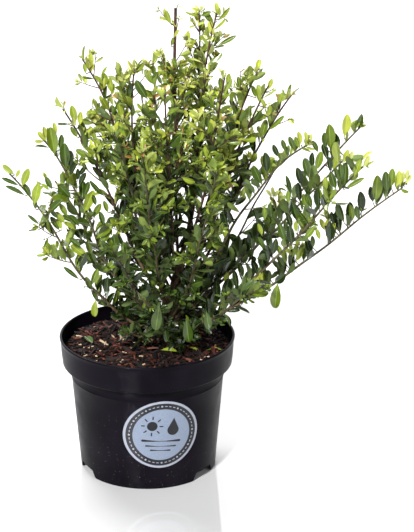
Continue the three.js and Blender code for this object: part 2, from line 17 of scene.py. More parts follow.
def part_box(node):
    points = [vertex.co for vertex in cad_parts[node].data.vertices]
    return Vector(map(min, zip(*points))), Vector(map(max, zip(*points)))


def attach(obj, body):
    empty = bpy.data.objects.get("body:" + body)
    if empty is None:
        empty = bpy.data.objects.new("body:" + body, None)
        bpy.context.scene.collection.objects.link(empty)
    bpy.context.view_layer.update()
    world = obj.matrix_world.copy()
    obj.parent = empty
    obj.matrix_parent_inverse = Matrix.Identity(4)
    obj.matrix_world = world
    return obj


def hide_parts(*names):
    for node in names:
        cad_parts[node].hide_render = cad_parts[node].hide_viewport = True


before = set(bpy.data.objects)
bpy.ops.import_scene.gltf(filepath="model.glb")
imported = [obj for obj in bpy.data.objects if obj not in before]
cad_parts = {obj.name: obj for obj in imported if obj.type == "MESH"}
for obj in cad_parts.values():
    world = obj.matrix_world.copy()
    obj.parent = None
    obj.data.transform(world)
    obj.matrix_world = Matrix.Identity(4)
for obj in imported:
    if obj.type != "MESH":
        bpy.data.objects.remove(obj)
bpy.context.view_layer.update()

MM = 0.001
SEED = 417
BRANCH_SEED = 100
rng = np.random.default_rng(SEED)


def reseed(number):
    """Fresh dice, so that a change in one part of the plant leaves the others as they are."""
    global rng
    rng = np.random.default_rng(SEED + number)


# ---- sizes that follow the solids

RIM_RADIUS, _, POT_HEIGHT = (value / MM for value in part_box("pot")[1])
COLLAR_FOOT = POT_HEIGHT - 27.5
COLLAR_FOOT_RADIUS = 82.4
BODY_TOP_RADIUS = 75
FOOT_RADIUS = 66
WALL = 1.6
FLOOR = 2
LIP = 2.4
CHANNEL_HEIGHT = 8.5
CHANNEL_INNER_RADIUS = 44
CHANNEL_SLOPE = 3
NOTCH = Named(count=3, first=326, width=33, height=8, taper=5.5, fade=14)
RIDGE = Named(height=95, depth=0.45, width=1.1)

MIX = Named(top=124, roughness=1.6, seat=16, edge_drop=3)
# The fine mix under the chips: the height of its step over the raised channel, how far it stays
# from the wall, how far it lies under the chips, and the sizes and depths of its clods.
SOIL = Named(step=10.4, clear=2.5, sunk=0.8, clods=((4.5, 1.9), (1.7, 0.9)))
CHIPS = Named(
    count=2100, length=(3.5, 12), width=(0.1, 0.28), thickness=(0.5, 1.5),
    reach=79, clear_of_trunk=4, rise=(-0.2, 2.4),
)
LABEL = Named(
    radius=36, pale_edge=33.7, disc=27.5, height=59.5, degrees=-78, level=-4.5,
    face=0.5, back=0.05,
)
# The marks on the label: how far their undersides and tops stand out, how many go round the ring,
# the sizes of its dots and dashes, the sun's place, radius and rays (how far out, long and broad),
# the drop's place and size, and each bar's height on the label, length and breadth.
MARKS = Named(
    low=0.48, high=0.62, ring=48, dot=0.95, dash=(2.4, 0.75),
    sun=(-10, 9), sun_radius=5, rays_at=8.8, ray=(3.8, 1.2), drop=(10.5, 5, 5.6),
    bars=((-7, 38, 2.4), (-12.5, 30, 1.5), (-17, 20, 1.5)),
)

GAP = 0.3
TRUNK = Named(x=18, y=8, height=78, lean=(12, 2), bend=1.2, tip=3.2, base=6.4)
FLARE = Named(extra=3.4, height=5.5)

# One row for each long shoot: its tip's direction round the foot of the trunk in degrees, its reach
# and its height over the mix, the height at which it leaves the trunk, its slopes there and at its
# tip, the bare share of its length, and the habit of its foliage.
SHOOTS = [
    ("left_low", -160, 159, 199, 10, 10, 38, 0.3, "open"),
    ("left_mid", 174, 123, 209, 17, 22, 44, 0.3, "open"),
    ("left_high", -157, 106, 256, 32, 56, 56, 0.3, "full"),
    ("left_upper", 163, 86, 285, 48, 62, 54, 0.32, "top"),
    ("left_crest", -116, 58, 300, 59, 50, 104, 0, "top"),
    ("top_right", 64, 74, 319, 66, 40, 92, 0.35, "top"),
    ("top_far_right", 31, 60, 330, 64, 66, 70, 0.35, "top"),
    ("right_crest", -48, 85, 294, 51, 62, 78, 0.3, "top"),
    ("right_high", 21, 98, 270, 50, 44, 58, 0.3, "full"),
    ("right_upper", -14, 104, 274, 46, 56, 60, 0.3, "top"),
    ("right_shoulder", 8, 126, 251, 40, 46, 50, 0.3, "full"),
    ("right_front", -27, 154, 236, 33, 44, 37, 0.3, "open"),
    ("right_far", 13, 198, 210, 19, 30, 42, 0.3, "open"),
    ("right_mid", -1, 180, 199, 27, 36, 48, 0, "open"),
    ("right_spread", -16, 201, 209, 15, 22, 44, 0.3, "open"),
    ("right_low", -5, 232, 179, 9, 16, 37, 0.28, "open"),
    ("right_foot", -38, 126, 90, 9, 10, 26, 0, "low"),
    ("front_top", -89, 78, 283, 64, 62, 76, 0.3, "top"),
    ("front_left", -119, 96, 247, 38, 54, 62, 0.28, "front"),
    ("front_mid", -100, 112, 237, 27, 44, 66, 0.28, "front"),
    ("front_right", -62, 112, 217, 20, 40, 60, 0, "front"),
    ("front_low", -115, 117, 139, 12, 24, 44, 0, "low"),
    ("back_top", 101, 65, 271, 62, 50, 80, 0, "top"),
    ("back_left", 135, 101, 225, 42, 50, 58, 0, "full"),
    ("back_mid", 104, 107, 229, 28, 44, 58, 0.25, "full"),
    ("back_right", 57, 137, 222, 35, 46, 56, 0, "full"),
    ("back_low_left", 152, 128, 151, 10, 22, 46, 0, "low"),
    ("back_low", 109, 149, 138, 12, 18, 42, 0, "low"),
    ("back_low_right", 44, 157, 149, 11, 22, 44, 0, "low"),
]
LEADER = ("leader", 26, 12, 338, TRUNK.height + GAP, 86, 93, 0, "leader")
SKIRT = {
    "degrees": (-140, -90, -62, 22, 78, 178), "root": 4, "leave": 14, "arrive": 34,
    "reach": 52, "reach_spread": 18, "reach_step": 5,
    "height": 24, "height_spread": 30, "height_step": 4,
}
HANDLE = 0.36
TIP_RADIUS = 0.75
TWIG_RADIUS = 0.5
LONGEST_TWIG = 13  # from a shoot to the stalk of a leaf that stands out by itself
ROOT_RADIUS = 0.95
LENGTH_PER_RADIUS = 400
TIP_LEAVES = 8
WOBBLE = 0.8
# How far the leafy parts of a few shoots hang under their plain curves: halfway and at the tip.
DROOPS = {"right_front": (0, 9), "right_spread": (4, 2), "right_low": (4, 9), "left_low": (11, 2)}
# How many steps of the tints the leaves of a few shoots are darker or, below zero, lighter: painted
# shade on shoots low down or deep in the crown, such as the skirt and front_low, and painted light on
# the lighter ones.
PAINTED_LIGHT_AND_SHADE = {
    "left_low": -0.9, "left_mid": -0.4, "right_spread": 0.4, "right_upper": -0.4, "front_top": 0.8,
    "front_left": 0.6, "front_right": -0.3, "right_mid": -0.3, "front_low": 0.9, "skirt_2": 0.8,
    "skirt_3": 1.0, "skirt_4": 1.0,
}

# How each habit dresses a shoot.  Leaves and side sprigs are a step apart, counted back from the
# tip.  A leaf leaves its stem at a slope and is drawn up by "rise"; "young" is how far from a tip
# the leaves are still light green, and "stray" is how much their faces turn at random.
HABIT_MEASURES = (
    "leaf_step", "leaf", "slope", "rise", "upright", "stray", "sprig_step", "sprig", "young", "stem")
HABITS = {
    name: Named(**dict(zip(HABIT_MEASURES, measures)))
    for name, *measures in (
        ("open", 4.8, 22.5, 54, 1.6, True, 0.3, 44, (10, 22), 22, "olive"),
        ("full", 4.4, 20, 36, 0.5, False, 0.8, 14, (12, 38), 18, "purple"),
        ("front", 4.4, 20, 36, 0.5, False, 0.8, 14, (12, 38), 18, "olive"),
        ("top", 4.2, 18.5, 38, 0.4, False, 0.75, 10.5, (13, 36), 20, "purple"),
        ("leader", 4.2, 18.5, 38, 0.4, False, 0.75, 10.5, (13, 36), 20, "purple"),
        ("low", 4.4, 21, 46, 0.6, False, 0.7, 17, (12, 34), 14, "olive"),
        ("tiny", 7.0, 11, 40, 0.3, False, 0.4, 40, (10, 20), 30, "purple"),
    )
}

# The top of the leader is a nearly bare, blunt stem.
BARE_TOP = Named(length=52, radius=1.5, stub=5)
GROWTH = Named(turn=137.5, sprig_slope=42, curl_up=0.012)
LEAF = Named(
    width=0.35, petiole=0.1, widest=0.56, roundness=0.52, stalk_width=0.06,
    thickness=0.018, spacing=0.13, rib=0.09,
)
TIP_TUFT = Named(
    count=5, length=(4.5, 9), slope=(14, 56), spacing=3.0, lighter=0.9,
    bronze_under=1.2, bronze_share=0.14,
)
# A side stem's radius at its foot, what that gains in a millimetre of length, and its tip's; the
# stem is at least so long before it branches again.
SIDE_STEM = Named(foot=0.42, gain=0.009, tip=0.32, branching=25)
# The steps of the tints at the foot and at the top of the crown, partly the young top growth's own
# lighter green and partly painted shade low down and painted light on top; those that leaves deep
# inside and leaves of the skirt are darker, which is painted shade; and those that the newest
# leaves are lighter, low down and high up.
SHADING = Named(foot=4.7, top=2.1, inside=0.4, skirt=1.4, newest=(1.1, 2.5))
CROWN_HEIGHT = 340
# How far leaves stay over the mix, inside the rim, over it and from the trunk.
CLEAR = Named(mix=1.5, inside_rim=3, over_rim=2, trunk=1)

# The photograph's frame, in millimetres at the depth of the target and in pixels.
VIEW = Named(target=(57.9, 0, 205.3), distance=2450, elevation=21.1, pixels_per_mm=1.042)
IMAGE_WIDTH, IMAGE_HEIGHT = 414, 532

# Side branches that show by themselves, by the shoot that each leaves: the pixels of its root and
# of its tip, how far its tip stands behind its root, its habit and how much darker it is.
SIDE_BRANCHES = {
    "leader": [
        ((171, 26), (158, 9), 0, "tiny", -0.5), ((173, 36), (179, 19), -4, "tiny", -1.6),
        ((174, 12), (178, 4), 3, "tiny", 1), ((174, 92), (162, 56), -8, "top", 0),
        ((174, 86), (181, 62), 10, "top", -0.4), ((175, 122), (187, 86), -12, "top", 0.2),
    ],
    "left_crest": [((131, 112), (116, 70), -8, "top", 0), ((133, 92), (146, 74), 8, "top", 0)],
    "left_upper": [((97, 96), (106, 68), 4, "top", 0.2), ((86, 66), (93, 54), 2, "top", -0.4)],
    "left_high": [
        ((78, 140), (90, 108), -6, "full", -0.8), ((68, 120), (76, 105), 4, "full", -0.6),
        ((92, 190), (78, 160), -4, "full", 0),
    ],
    "back_left": [((104, 138), (90, 118), 0, "full", -0.8)],
    "top_right": [
        ((199, 72), (186, 40), -4, "top", -0.7), ((199, 112), (187, 72), -10, "top", 0),
        ((199, 34), (191, 20), 0, "tiny", -0.6),
    ],
    "top_far_right": [
        ((209, 54), (222, 27), -2, "top", -0.2), ((206, 84), (217, 56), 8, "top", 0),
        ((211, 50), (224, 36), 4, "top", 0.2),
    ],
    "right_high": [((236, 106), (240, 72), -4, "top", 0)],
    "right_upper": [((256, 124), (267, 104), 4, "top", -0.3)],
    "left_low": [
        ((70, 263), (45, 254), -4, "open", -1.0), ((54, 240), (38, 226), -8, "open", -0.2),
    ],
    "left_mid": [((60, 198), (42, 184), -2, "open", -0.6)],
    "front_low": [((116, 288), (152, 309), -16, "tiny", -0.8)],
    "right_far": [((262, 206), (272, 194), -4, "full", -2.2)],
    "right_spread": [((286, 238), (308, 222), -3, "open", 0)],
    "right_low": [
        ((284, 264), (300, 246), 4, "full", -2.2), ((256, 290), (262, 277), 3, "full", -2.4),
        ((336, 232), (325, 216), 5, "full", -2.0),
    ],
}

PLACED_LEAF = Named(width=0.38, edge_width=0.21, proud=2.5, facing=(0, -0.8, 0.5))

# Single leaves that show by themselves, by the shoot that carries them: the pixels of the stalk
# and of the tip, and the step of the tint on LADDER.
SINGLE_LEAVES = {
    "leader": [(171, 25, 166, 11, 2), (171, 47, 173, 38, 3), (174, 38, 179, 30, 1)],
    "top_right": [
        (200, 17, 211, 12, 3), (199, 12, 192, 8, 1), (214, 28, 203, 12, 3), (199, 42, 205, 34, 2),
    ],
    "right_upper": [
        (262, 138, 266, 120, 3), (279, 104, 282, 93, 2), (268, 117, 270, 105, 2), (266, 108, 261, 99, 2),
    ],
    "right_high": [
        (222, 92, 220, 78, 3), (228, 88, 229, 74, 2), (256, 98, 252, 86, 3), (268, 90, 272, 79, 1),
        (232, 104, 232, 92, 3), (240, 89, 238, 77, 3), (226, 100, 225, 86, 2),
    ],
    "right_shoulder": [(234, 206, 246, 197, 4)],
    "top_far_right": [(218, 15, 216, 3, 1), (220, 17, 219, 8, 2)],
    "left_crest": [
        (121, 80, 118, 63, 2), (148, 100, 136, 81, 4), (152, 80, 157, 72, 4), (162, 85, 158, 76, 4),
        (113, 106, 110, 97, 2),
    ],
    "left_upper": [
        (112, 94, 110, 78, 2), (93, 66, 90, 53, 1), (86, 74, 84, 64, 2), (108, 86, 103, 73, 3),
        (112, 96, 114, 84, 2), (104, 106, 100, 96, 2),
    ],
    "left_high": [
        (76, 124, 72, 106, 2), (80, 126, 81, 112, 1), (104, 226, 100, 212, 4), (78, 138, 71, 127, 3),
        (92, 158, 76, 150, 3), (104, 160, 99, 148, 4), (110, 162, 108, 150, 3), (100, 178, 93, 167, 5),
        (113, 164, 103, 157, 3), (108, 213, 104, 201, 3), (96, 206, 93, 195, 4),
    ],
    "left_mid": [
        (55, 156, 51, 128, 3), (60, 150, 62, 135, 4), (66, 170, 65, 144, 4), (70, 168, 71, 151, 5),
        (70, 177, 78, 160, 5), (79, 187, 86, 173, 5), (72, 199, 58, 184, 4), (84, 213, 94, 191, 2),
        (93, 218, 101, 204, 3), (84, 197, 89, 182, 4), (92, 256, 88, 240, 3), (96, 239, 113, 224, 3),
        (118, 243, 119, 230, 1), (103, 272, 119, 260, 3), (47, 142, 38, 132, 1), (46, 140, 44, 127, 1),
        (57, 134, 54, 123, 1), (79, 176, 86, 166, 5), (92, 262, 82, 254, 3), (98, 246, 110, 233, 3),
        (77, 190, 75, 181, 4), (78, 181, 78, 169, 5), (96, 266, 91, 252, 4), (112, 236, 110, 227, 3),
    ],
    "left_low": [
        (22, 187, 29, 169, 2), (31, 198, 24, 184, 4), (82, 248, 70, 238, 4), (98, 303, 92, 290, 4),
        (34, 206, 39, 184, 2), (53, 190, 46, 177, 4), (47, 215, 62, 200, 4), (89, 258, 71, 245, 2),
        (78, 269, 77, 257, 3), (92, 291, 86, 277, 4), (107, 293, 108, 277, 5), (96, 299, 94, 317, 2),
        (66, 224, 56, 212, 2), (76, 230, 64, 222, 2), (80, 227, 70, 215, 4), (68, 217, 60, 204, 3),
        (106, 306, 98, 299, 4), (15, 175, 3, 165, 2), (16, 178, 20, 170, 1), (36, 210, 35, 199, 4),
        (62, 230, 58, 218, 2), (58, 219, 51, 208, 4), (60, 231, 51, 217, 4), (50, 191, 42, 184, 2),
    ],
    "right_front": [
        (267, 174, 265, 153, 5), (279, 158, 273, 145, 5), (286, 152, 282, 140, 4),
        (295, 151, 289, 137, 4), (301, 145, 298, 132, 1), (307, 142, 305, 132, 1),
        (311, 142, 311, 134, 0), (300, 149, 295, 137, 3), (288, 157, 286, 147, 4),
    ],
    "right_mid": [
        (308, 177, 304, 160, 4), (301, 186, 297, 168, 5), (270, 251, 268, 234, 5),
        (302, 212, 300, 200, 4), (322, 200, 316, 187, 3), (312, 208, 306, 193, 4),
        (306, 208, 303, 194, 3), (272, 198, 266, 190, 0), (273, 197, 272, 187, 0),
        (274, 198, 279, 191, 0), (292, 228, 287, 214, 5), (287, 233, 285, 221, 4),
    ],
    "right_far": [
        (344, 138, 347, 115, 1), (330, 151, 329, 125, 3), (326, 149, 324, 133, 4),
        (316, 171, 321, 152, 3), (313, 169, 312, 153, 5), (318, 153, 312, 141, 4),
        (333, 171, 336, 156, 2),
    ],
    "right_spread": [
        (343, 164, 348, 150, 1), (350, 161, 352, 151, 0), (363, 168, 369, 156, 0),
        (341, 180, 340, 164, 4), (330, 173, 328, 157, 5), (345, 188, 345, 163, 4),
        (354, 177, 360, 160, 2), (326, 191, 325, 177, 2), (297, 222, 292, 202, 5),
        (272, 219, 270, 203, 4), (265, 220, 264, 208, 3), (257, 222, 254, 208, 5),
        (296, 233, 296, 221, 2), (304, 240, 314, 227, 3), (262, 236, 258, 224, 2),
        (252, 251, 251, 238, 5), (264, 250, 258, 237, 4), (272, 256, 276, 239, 5),
        (286, 243, 279, 224, 4), (336, 190, 330, 172, 4), (292, 246, 289, 226, 5),
        (320, 240, 316, 229, 2), (338, 181, 335, 168, 4), (288, 204, 288, 191, 3),
    ],
    "right_low": [
        (403, 183, 403, 172, 0), (405, 184, 411, 175, 0), (406, 181, 408, 170, 0),
        (400, 186, 399, 171, 1), (396, 188, 398, 172, 1), (391, 188, 392, 169, 3),
        (387, 193, 385, 172, 4), (375, 203, 377, 176, 3), (373, 203, 370, 187, 5),
        (361, 214, 360, 192, 5), (353, 221, 350, 205, 3), (344, 223, 337, 203, 4),
        (334, 225, 331, 212, 5), (278, 282, 275, 309, 3), (325, 231, 320, 219, 1),
        (326, 231, 328, 219, 1), (331, 233, 335, 223, 1), (313, 248, 312, 236, 4),
        (296, 262, 303, 248, 2), (292, 258, 296, 245, 3), (286, 264, 284, 250, 3),
        (284, 268, 277, 256, 4), (258, 276, 252, 260, 5), (261, 286, 256, 274, 1),
        (261, 286, 263, 273, 1), (270, 279, 279, 271, 4), (280, 270, 272, 260, 4),
        (282, 257, 277, 245, 3), (226, 286, 228, 272, 2), (226, 312, 240, 310, 5),
        (358, 220, 356, 206, 4), (243, 278, 239, 263, 4),
    ],
    "skirt_2": [(160, 304, 155, 331, 4)],
    "skirt_3": [(186, 318, 189, 343, 4), (206, 310, 209, 330, 4)],
}
# Leaves that show their edge, in the same way.
EDGE_LEAVES = {
    "top_far_right": [(217, 46, 236, 36, 3), (217, 22, 230, 8, 2)],
    "right_upper": [(268, 131, 284, 116, 3)],
    "left_upper": [(95, 79, 82, 77, 4), (101, 78, 107, 67, 2)],
    "left_high": [(70, 124, 57, 124, 4), (105, 197, 90, 181, 4)],
    "left_mid": [(50, 148, 48, 128, 2), (50, 148, 35, 146, 4)],
    "left_low": [
        (20, 186, 2, 178, 4), (26, 196, 6, 186, 4), (40, 225, 28, 215, 4), (38, 230, 28, 231, 4),
        (80, 280, 64, 267, 4),
    ],
    "right_mid": [(291, 197, 286, 176, 4)],
    "right_spread": [(344, 190, 364, 178, 3), (365, 166, 374, 161, 1)],
    "right_low": [(232, 306, 250, 313, 5)],
}
# Where the photograph shows sky between the leaves: ellipses by middle and half sizes, in pixels.
GAPS = [
    (97, 90, 9, 8), (235, 65, 12, 5), (225, 26, 5, 4), (254, 102, 5, 5), (289, 102, 5, 4),
    (72, 136, 8, 5), (90, 172, 6, 8), (192, 211, 6, 6), (177, 215, 4, 5), (338, 238, 8, 6),
    (253, 309, 7, 7), (53, 265, 7, 6), (289, 131, 5, 6), (324, 172, 5, 4), (177, 245, 5, 6),
    (46, 156, 8, 6), (298, 127, 11, 5), (292, 180, 5, 8), (300, 270, 7, 8), (363, 133, 5, 5),
    (375, 162, 5, 4), (323, 237, 5, 5), (348, 195, 5, 4), (180, 47, 5, 8), (11, 186, 7, 5),
    (266, 148, 10, 8), (281, 137, 11, 7), (290, 111, 8, 6), (355, 149, 14, 5), (339, 132, 4, 9),
    (238, 227, 8, 9), (244, 209, 10, 11), (257, 197, 10, 8), (270, 185, 9, 6), (265, 301, 8, 9),
    (238, 321, 6, 5), (204, 197, 7, 7), (195, 215, 6, 8), (207, 252, 6, 5), (224, 241, 4, 4),
    (62, 234, 6, 7), (87, 269, 5, 5), (75, 147, 6, 6), (58, 112, 6, 5), (136, 96, 5, 6),
    (367, 189, 5, 9), (94, 84, 5, 5), (108, 188, 5, 6), (38, 178, 6, 5), (16, 164, 10, 4),
    (81, 104, 11, 7), (84, 88, 7, 6), (98, 70, 6, 6), (110, 68, 5, 6), (139, 78, 9, 5), (172, 53, 9, 5),
    (192, 35, 4, 5), (222, 60, 5, 5), (216, 74, 4, 5), (235, 72, 5, 6), (250, 96, 5, 8), (268, 97, 5, 4),
    (270, 133, 8, 5), (54, 177, 8, 7), (35, 214, 9, 6), (163, 111, 6, 8), (257, 161, 5, 6),
    (323, 170, 4, 5), (136, 212, 5, 4), (38, 248, 4, 8), (45, 197, 4, 6),
    (105, 212, 5, 8), (20, 166, 7, 7), (8, 178, 6, 5), (79, 142, 4, 4), (149, 82, 5, 5),
    (135, 107, 4, 4), (262, 80, 5, 4), (341, 138, 5, 6), (292, 161, 6, 4), (283, 172, 8, 5),
    (264, 187, 6, 5), (254, 205, 8, 6), (244, 224, 5, 10), (388, 202, 8, 6), (354, 242, 12, 10),
    (82, 270, 4, 5), (67, 129, 4, 4), (59, 117, 8, 5), (69, 103, 4, 4), (79, 68, 4, 4), (180, 57, 4, 4),
    (40, 234, 6, 4), (73, 283, 9, 6), (19, 197, 6, 5), (103, 200, 4, 4), (248, 215, 8, 8),
    (399, 200, 8, 6), (362, 225, 6, 4), (408, 187, 4, 4), (109, 191, 4, 5), (213, 82, 4, 4),
    (298, 96, 4, 3), (279, 84, 4, 3), (250, 209, 7, 7), (257, 189, 5, 4), (67, 236, 5, 5),
    (79, 62, 3, 3),
]
# Leaves that lie on the mix: the pixels of their two ends and the step of the tint.
FALLEN_LEAVES = [
    ((160, 350), (177, 351), 2), ((185, 348), (198, 350), 1), ((206, 350), (223, 350), 2),
    ((84, 336), (92, 342), 4),
]

# ---- colours (sRGB, 0 to 255)

TINTS = {
    "tip": (172, 177, 98),
    "lime": (156, 164, 58),
    "fresh": (126, 141, 42),
    "mid": (96, 115, 30),
    "mature": (57, 78, 21),
    "dark": (31, 47, 15),
    "bronze": (156, 112, 66),
}
LADDER = ["tip", "lime", "fresh", "mid", "mature", "dark"]
PALE_UNDERSIDE = (132, 148, 92)
# The midrib's tint: partly its own paler green, partly a painted highlight along it.
RIB_TINT_AND_SHEEN = (214, 220, 150)
CHIP_COLOURS = {
    "black_bark": ((10, 6, 5), 0.36),
    "brown_bark": ((31, 16, 12), 0.33),
    "red_bark": ((68, 30, 21), 0.21),
    "tan_bark": ((114, 70, 52), 0.07),
    "pale_wood": ((196, 172, 140), 0.03),
}


def linear(colour, gain=1.0):
    """An sRGB colour as Blender's linear RGBA."""
    shares = [channel / 255 for channel in colour]
    curve = [s / 12.92 if s <= 0.04045 else ((s + 0.055) / 1.055) ** 2.4 for s in shares]
    return (*[min(1.0, value * gain) for value in curve], 1.0)


def blended(one, other, share):
    return tuple(a + (b - a) * share for a, b in zip(one, other))


# ---- materials

def gray(value):
    return (value, value, value, 1.0)


def add_node(tree, kind, inputs, **settings):
    """The outputs of a new shader node; each of its inputs is a socket to link or a value to set."""
    node = tree.nodes.new(f"ShaderNode{kind}")
    for name, value in settings.items():
        setattr(node, name, value)
    for name, value in inputs.items():
        if isinstance(value, bpy.types.NodeSocket):
            tree.links.new(value, node.inputs[name])
        else:
            node.inputs[name].default_value = value
    return node.outputs


def axes_of(tree, kind):
    """The separate axes of the coordinates of a kind."""
    return add_node(tree, "SeparateXYZ", {"Vector": add_node(tree, "TexCoord", {})[kind]})


def ramp(tree, source, *stops):
    """A colour ramp over a source; stops are (place, RGBA)."""
    node = tree.nodes.new("ShaderNodeValToRGB")
    elements = node.color_ramp.elements
    elements[0].position, elements[0].color = stops[0]
    elements[1].position, elements[1].color = stops[-1]
    for place, colour in stops[1:-1]:
        elements.new(place).color = colour
    tree.links.new(source, node.inputs["Fac"])
    return node.outputs["Color"]


class Finish:
    """A Principled material, with the patterns and the relief that are added to it."""

    def __init__(self, name, colour, roughness, specular=0.5):
        self.material = bpy.data.materials.new(name)
        self.material.use_nodes = True
        self.tree = self.material.node_tree
        self.inputs = self.tree.nodes["Principled BSDF"].inputs
        self.inputs["Base Color"].default_value = linear(colour)
        self.inputs["Roughness"].default_value = roughness
        self.inputs["Specular IOR Level"].default_value = specular

    def noise(self, scale, detail=4.0, stretch=(1, 1, 1)):
        """Noise over the piece's own coordinates, drawn out along an axis where stretch is under 1."""
        place = add_node(self.tree, "TexCoord", {})["Object"]
        place = add_node(self.tree, "Mapping", {"Scale": stretch, "Vector": place})["Vector"]
        return add_node(self.tree, "TexNoise", {"Scale": scale, "Detail": detail, "Vector": place})["Fac"]

    def paint(self, source, *stops):
        """Colours the surface by a ramp; stops are (place, colour, gain), a gain of 1 left out."""
        stops = [(place, linear(*tone)) for place, *tone in stops]
        self.tree.links.new(ramp(self.tree, source, *stops), self.inputs["Base Color"])

    def bump(self, source, strength, distance):
        """Relief of a height in metres, over any relief that the surface already has."""
        inputs = {"Strength": strength, "Distance": distance, "Height": source}
        normal = self.inputs["Normal"]
        if normal.is_linked:
            inputs["Normal"] = normal.links[0].from_socket
        self.tree.links.new(add_node(self.tree, "Bump", inputs)["Normal"], normal)


def leaf_finishes(tint):
    """The glossy upper face, the pale, dull underside and the midrib of one tint of leaf; the midrib's
    light tint is partly its own paler green and partly a painted highlight along it.
    """
    colour = TINTS[tint]
    upper = Finish(f"leaf_{tint}", colour, 0.25, 0.6)
    upper.paint(upper.noise(95, 2.0), (0.3, colour, 0.78), (0.5, colour), (0.7, colour, 1.22))
    upper.bump(upper.noise(900, 3.0), 0.25, 0.0002)
    pale = blended(colour, PALE_UNDERSIDE, 0.5)
    under = Finish(f"leaf_under_{tint}", pale, 0.6, 0.2)
    under.paint(under.noise(130, 2.0), (0.35, pale, 0.88), (0.65, pale, 1.1))
    # The midrib is blended towards a pale tint: partly its own paler green, partly a painted highlight.
    rib_and_sheen = blended(colour, RIB_TINT_AND_SHEEN, 0.24)
    rib = Finish(f"leaf_rib_and_sheen_{tint}", rib_and_sheen, 0.4, 0.3)
    rib.paint(rib.noise(200, 2.0), (0.35, rib_and_sheen, 0.9), (0.65, rib_and_sheen, 1.1))
    return [upper, under, rib]


def bark_finish(name, dark, light, fissure, roughness=0.82):
    """Bark with long fissures up the limb and small lighter pores."""
    bark = Finish(name, light, roughness, 0.3)
    grain = bark.noise(700, 6.0, (1, 1, 0.22))
    bark.paint(grain, (0.32, dark), (0.52, light), (0.72, light, 1.45))
    bark.bump(grain, fissure, 0.0006)
    bark.bump(bark.noise(2600, 3.0), 0.3, 0.0002)
    return bark


def plastic_finish():
    """Charcoal moulded plastic, satin, with faint scuffs and a dusting of dry soil low down."""
    plastic = Finish("pot_plastic", (14, 12, 18), 0.34, 0.05)
    tree = plastic.tree
    low = ramp(tree, axes_of(tree, "Object")["Z"], (0.0, gray(1)), (0.09, gray(0)))
    specks = ramp(tree, plastic.noise(520, 5.0), (0.66, gray(0)), (0.72, gray(1)))
    dusty = add_node(tree, "Math", {0: low, 1: specks}, operation="MULTIPLY")["Value"]
    cloud = ramp(tree, plastic.noise(22, 3.0), (0.35, linear((10, 8, 14))), (0.65, linear((19, 16, 24))))
    dust = linear((92, 80, 72))
    mix = add_node(tree, "Mix", {"Factor": dusty, "A": cloud, "B": dust}, data_type="RGBA")
    tree.links.new(mix["Result"], plastic.inputs["Base Color"])
    scuffs = ramp(tree, plastic.noise(60, 4.0), (0.3, gray(0.28)), (0.7, gray(0.42)))
    tree.links.new(scuffs, plastic.inputs["Roughness"])
    plastic.bump(plastic.noise(1500, 3.0), 0.12, 0.0002)
    return plastic


def soil_finish():
    soil = Finish("damp_soil", (28, 19, 15), 0.95, 0.15)
    grains = soil.noise(420, 6.0)
    soil.paint(grains, (0.35, (5, 4, 4)), (0.55, (16, 10, 9)), (0.75, (38, 23, 19)))
    soil.bump(grains, 0.9, 0.0015)
    return soil


def chip_finish(name, colour):
    chip = Finish(name, colour, 0.72, 0.25)
    fibre = chip.noise(800, 5.0, (1, 1, 3))
    chip.paint(fibre, (0.3, colour, 0.6), (0.5, colour), (0.72, colour, 1.35))
    chip.bump(fibre, 0.7, 0.0006)
    return chip


def paper_finish(name, colour):
    """Printed sticker paper with a faint mottle."""
    paper = Finish(name, colour, 0.42)
    paper.paint(paper.noise(900, 4.0), (0.35, colour, 0.9), (0.65, colour, 1.08))
    paper.bump(paper.noise(1200, 2.0), 0.08, 0.0001)
    return paper


# ---- meshes from arrays

class Pile:
    """Corners and triangles gathered for one mesh, with a finish number for each triangle."""

    def __init__(self):
        self.corners, self.faces, self.finishes, self.count = [], [], [], 0

    def add(self, corners, faces, finish=0):
        self.corners.append(corners)
        self.faces.append(np.asarray(faces) + self.count)
        self.finishes.append(np.broadcast_to(finish, len(faces)))
        self.count += len(corners)


def make_piece(name, pile, finishes, replaced=(), sharp=50):
    """One shown piece: it rides on the body and stands for the nodes it replaces."""
    mesh = bpy.data.meshes.new(name)
    corners = np.concatenate(pile.corners) * MM
    faces = np.concatenate(pile.faces)
    mesh.from_pydata(corners.tolist(), [], faces.tolist())
    mesh.polygons.foreach_set("material_index", np.concatenate(pile.finishes).astype(np.int32))
    mesh.polygons.foreach_set("use_smooth", np.ones(len(faces), bool))
    mesh.set_sharp_from_angle(angle=radians(sharp))
    for finish in finishes:
        mesh.materials.append(finish.material)
    piece = bpy.data.objects.new(name, mesh)
    bpy.context.scene.collection.objects.link(piece)
    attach(piece, "root")
    if replaced:
        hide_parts(*replaced)
    return piece


def unit(vector):
    return vector / norm(vector)


def lerp(low, high, share):
    return low + (high - low) * share


def smoothstep(value, low, high):
    share = np.clip((value - low) / (high - low), 0, 1)
    return share * share * (3 - 2 * share)


def round_steps(count):
    """The angles of equal steps round a circle."""
    return np.arange(count) * 2 * pi / count


def polar(radius, degrees):
    return radius * cos(radians(degrees)), radius * sin(radians(degrees))


def rotated(points, degrees):
    """Flat points turned round their origin."""
    across, up = polar(1, degrees)
    return [(x * across - y * up, x * up + y * across) for x, y in points]


def walked_along(points):
    """How far along a line of points each of them lies."""
    return np.concatenate([[0], np.cumsum(norm(np.diff(points, axis=0), axis=1))])


def bezier(controls, count):
    """Points along the smooth curve that its control points draw."""
    share = np.linspace(0, 1, count)[:, None]
    order = len(controls) - 1
    return sum(
        comb(order, i) * share ** i * (1 - share) ** (order - i) * control
        for i, control in enumerate(controls))


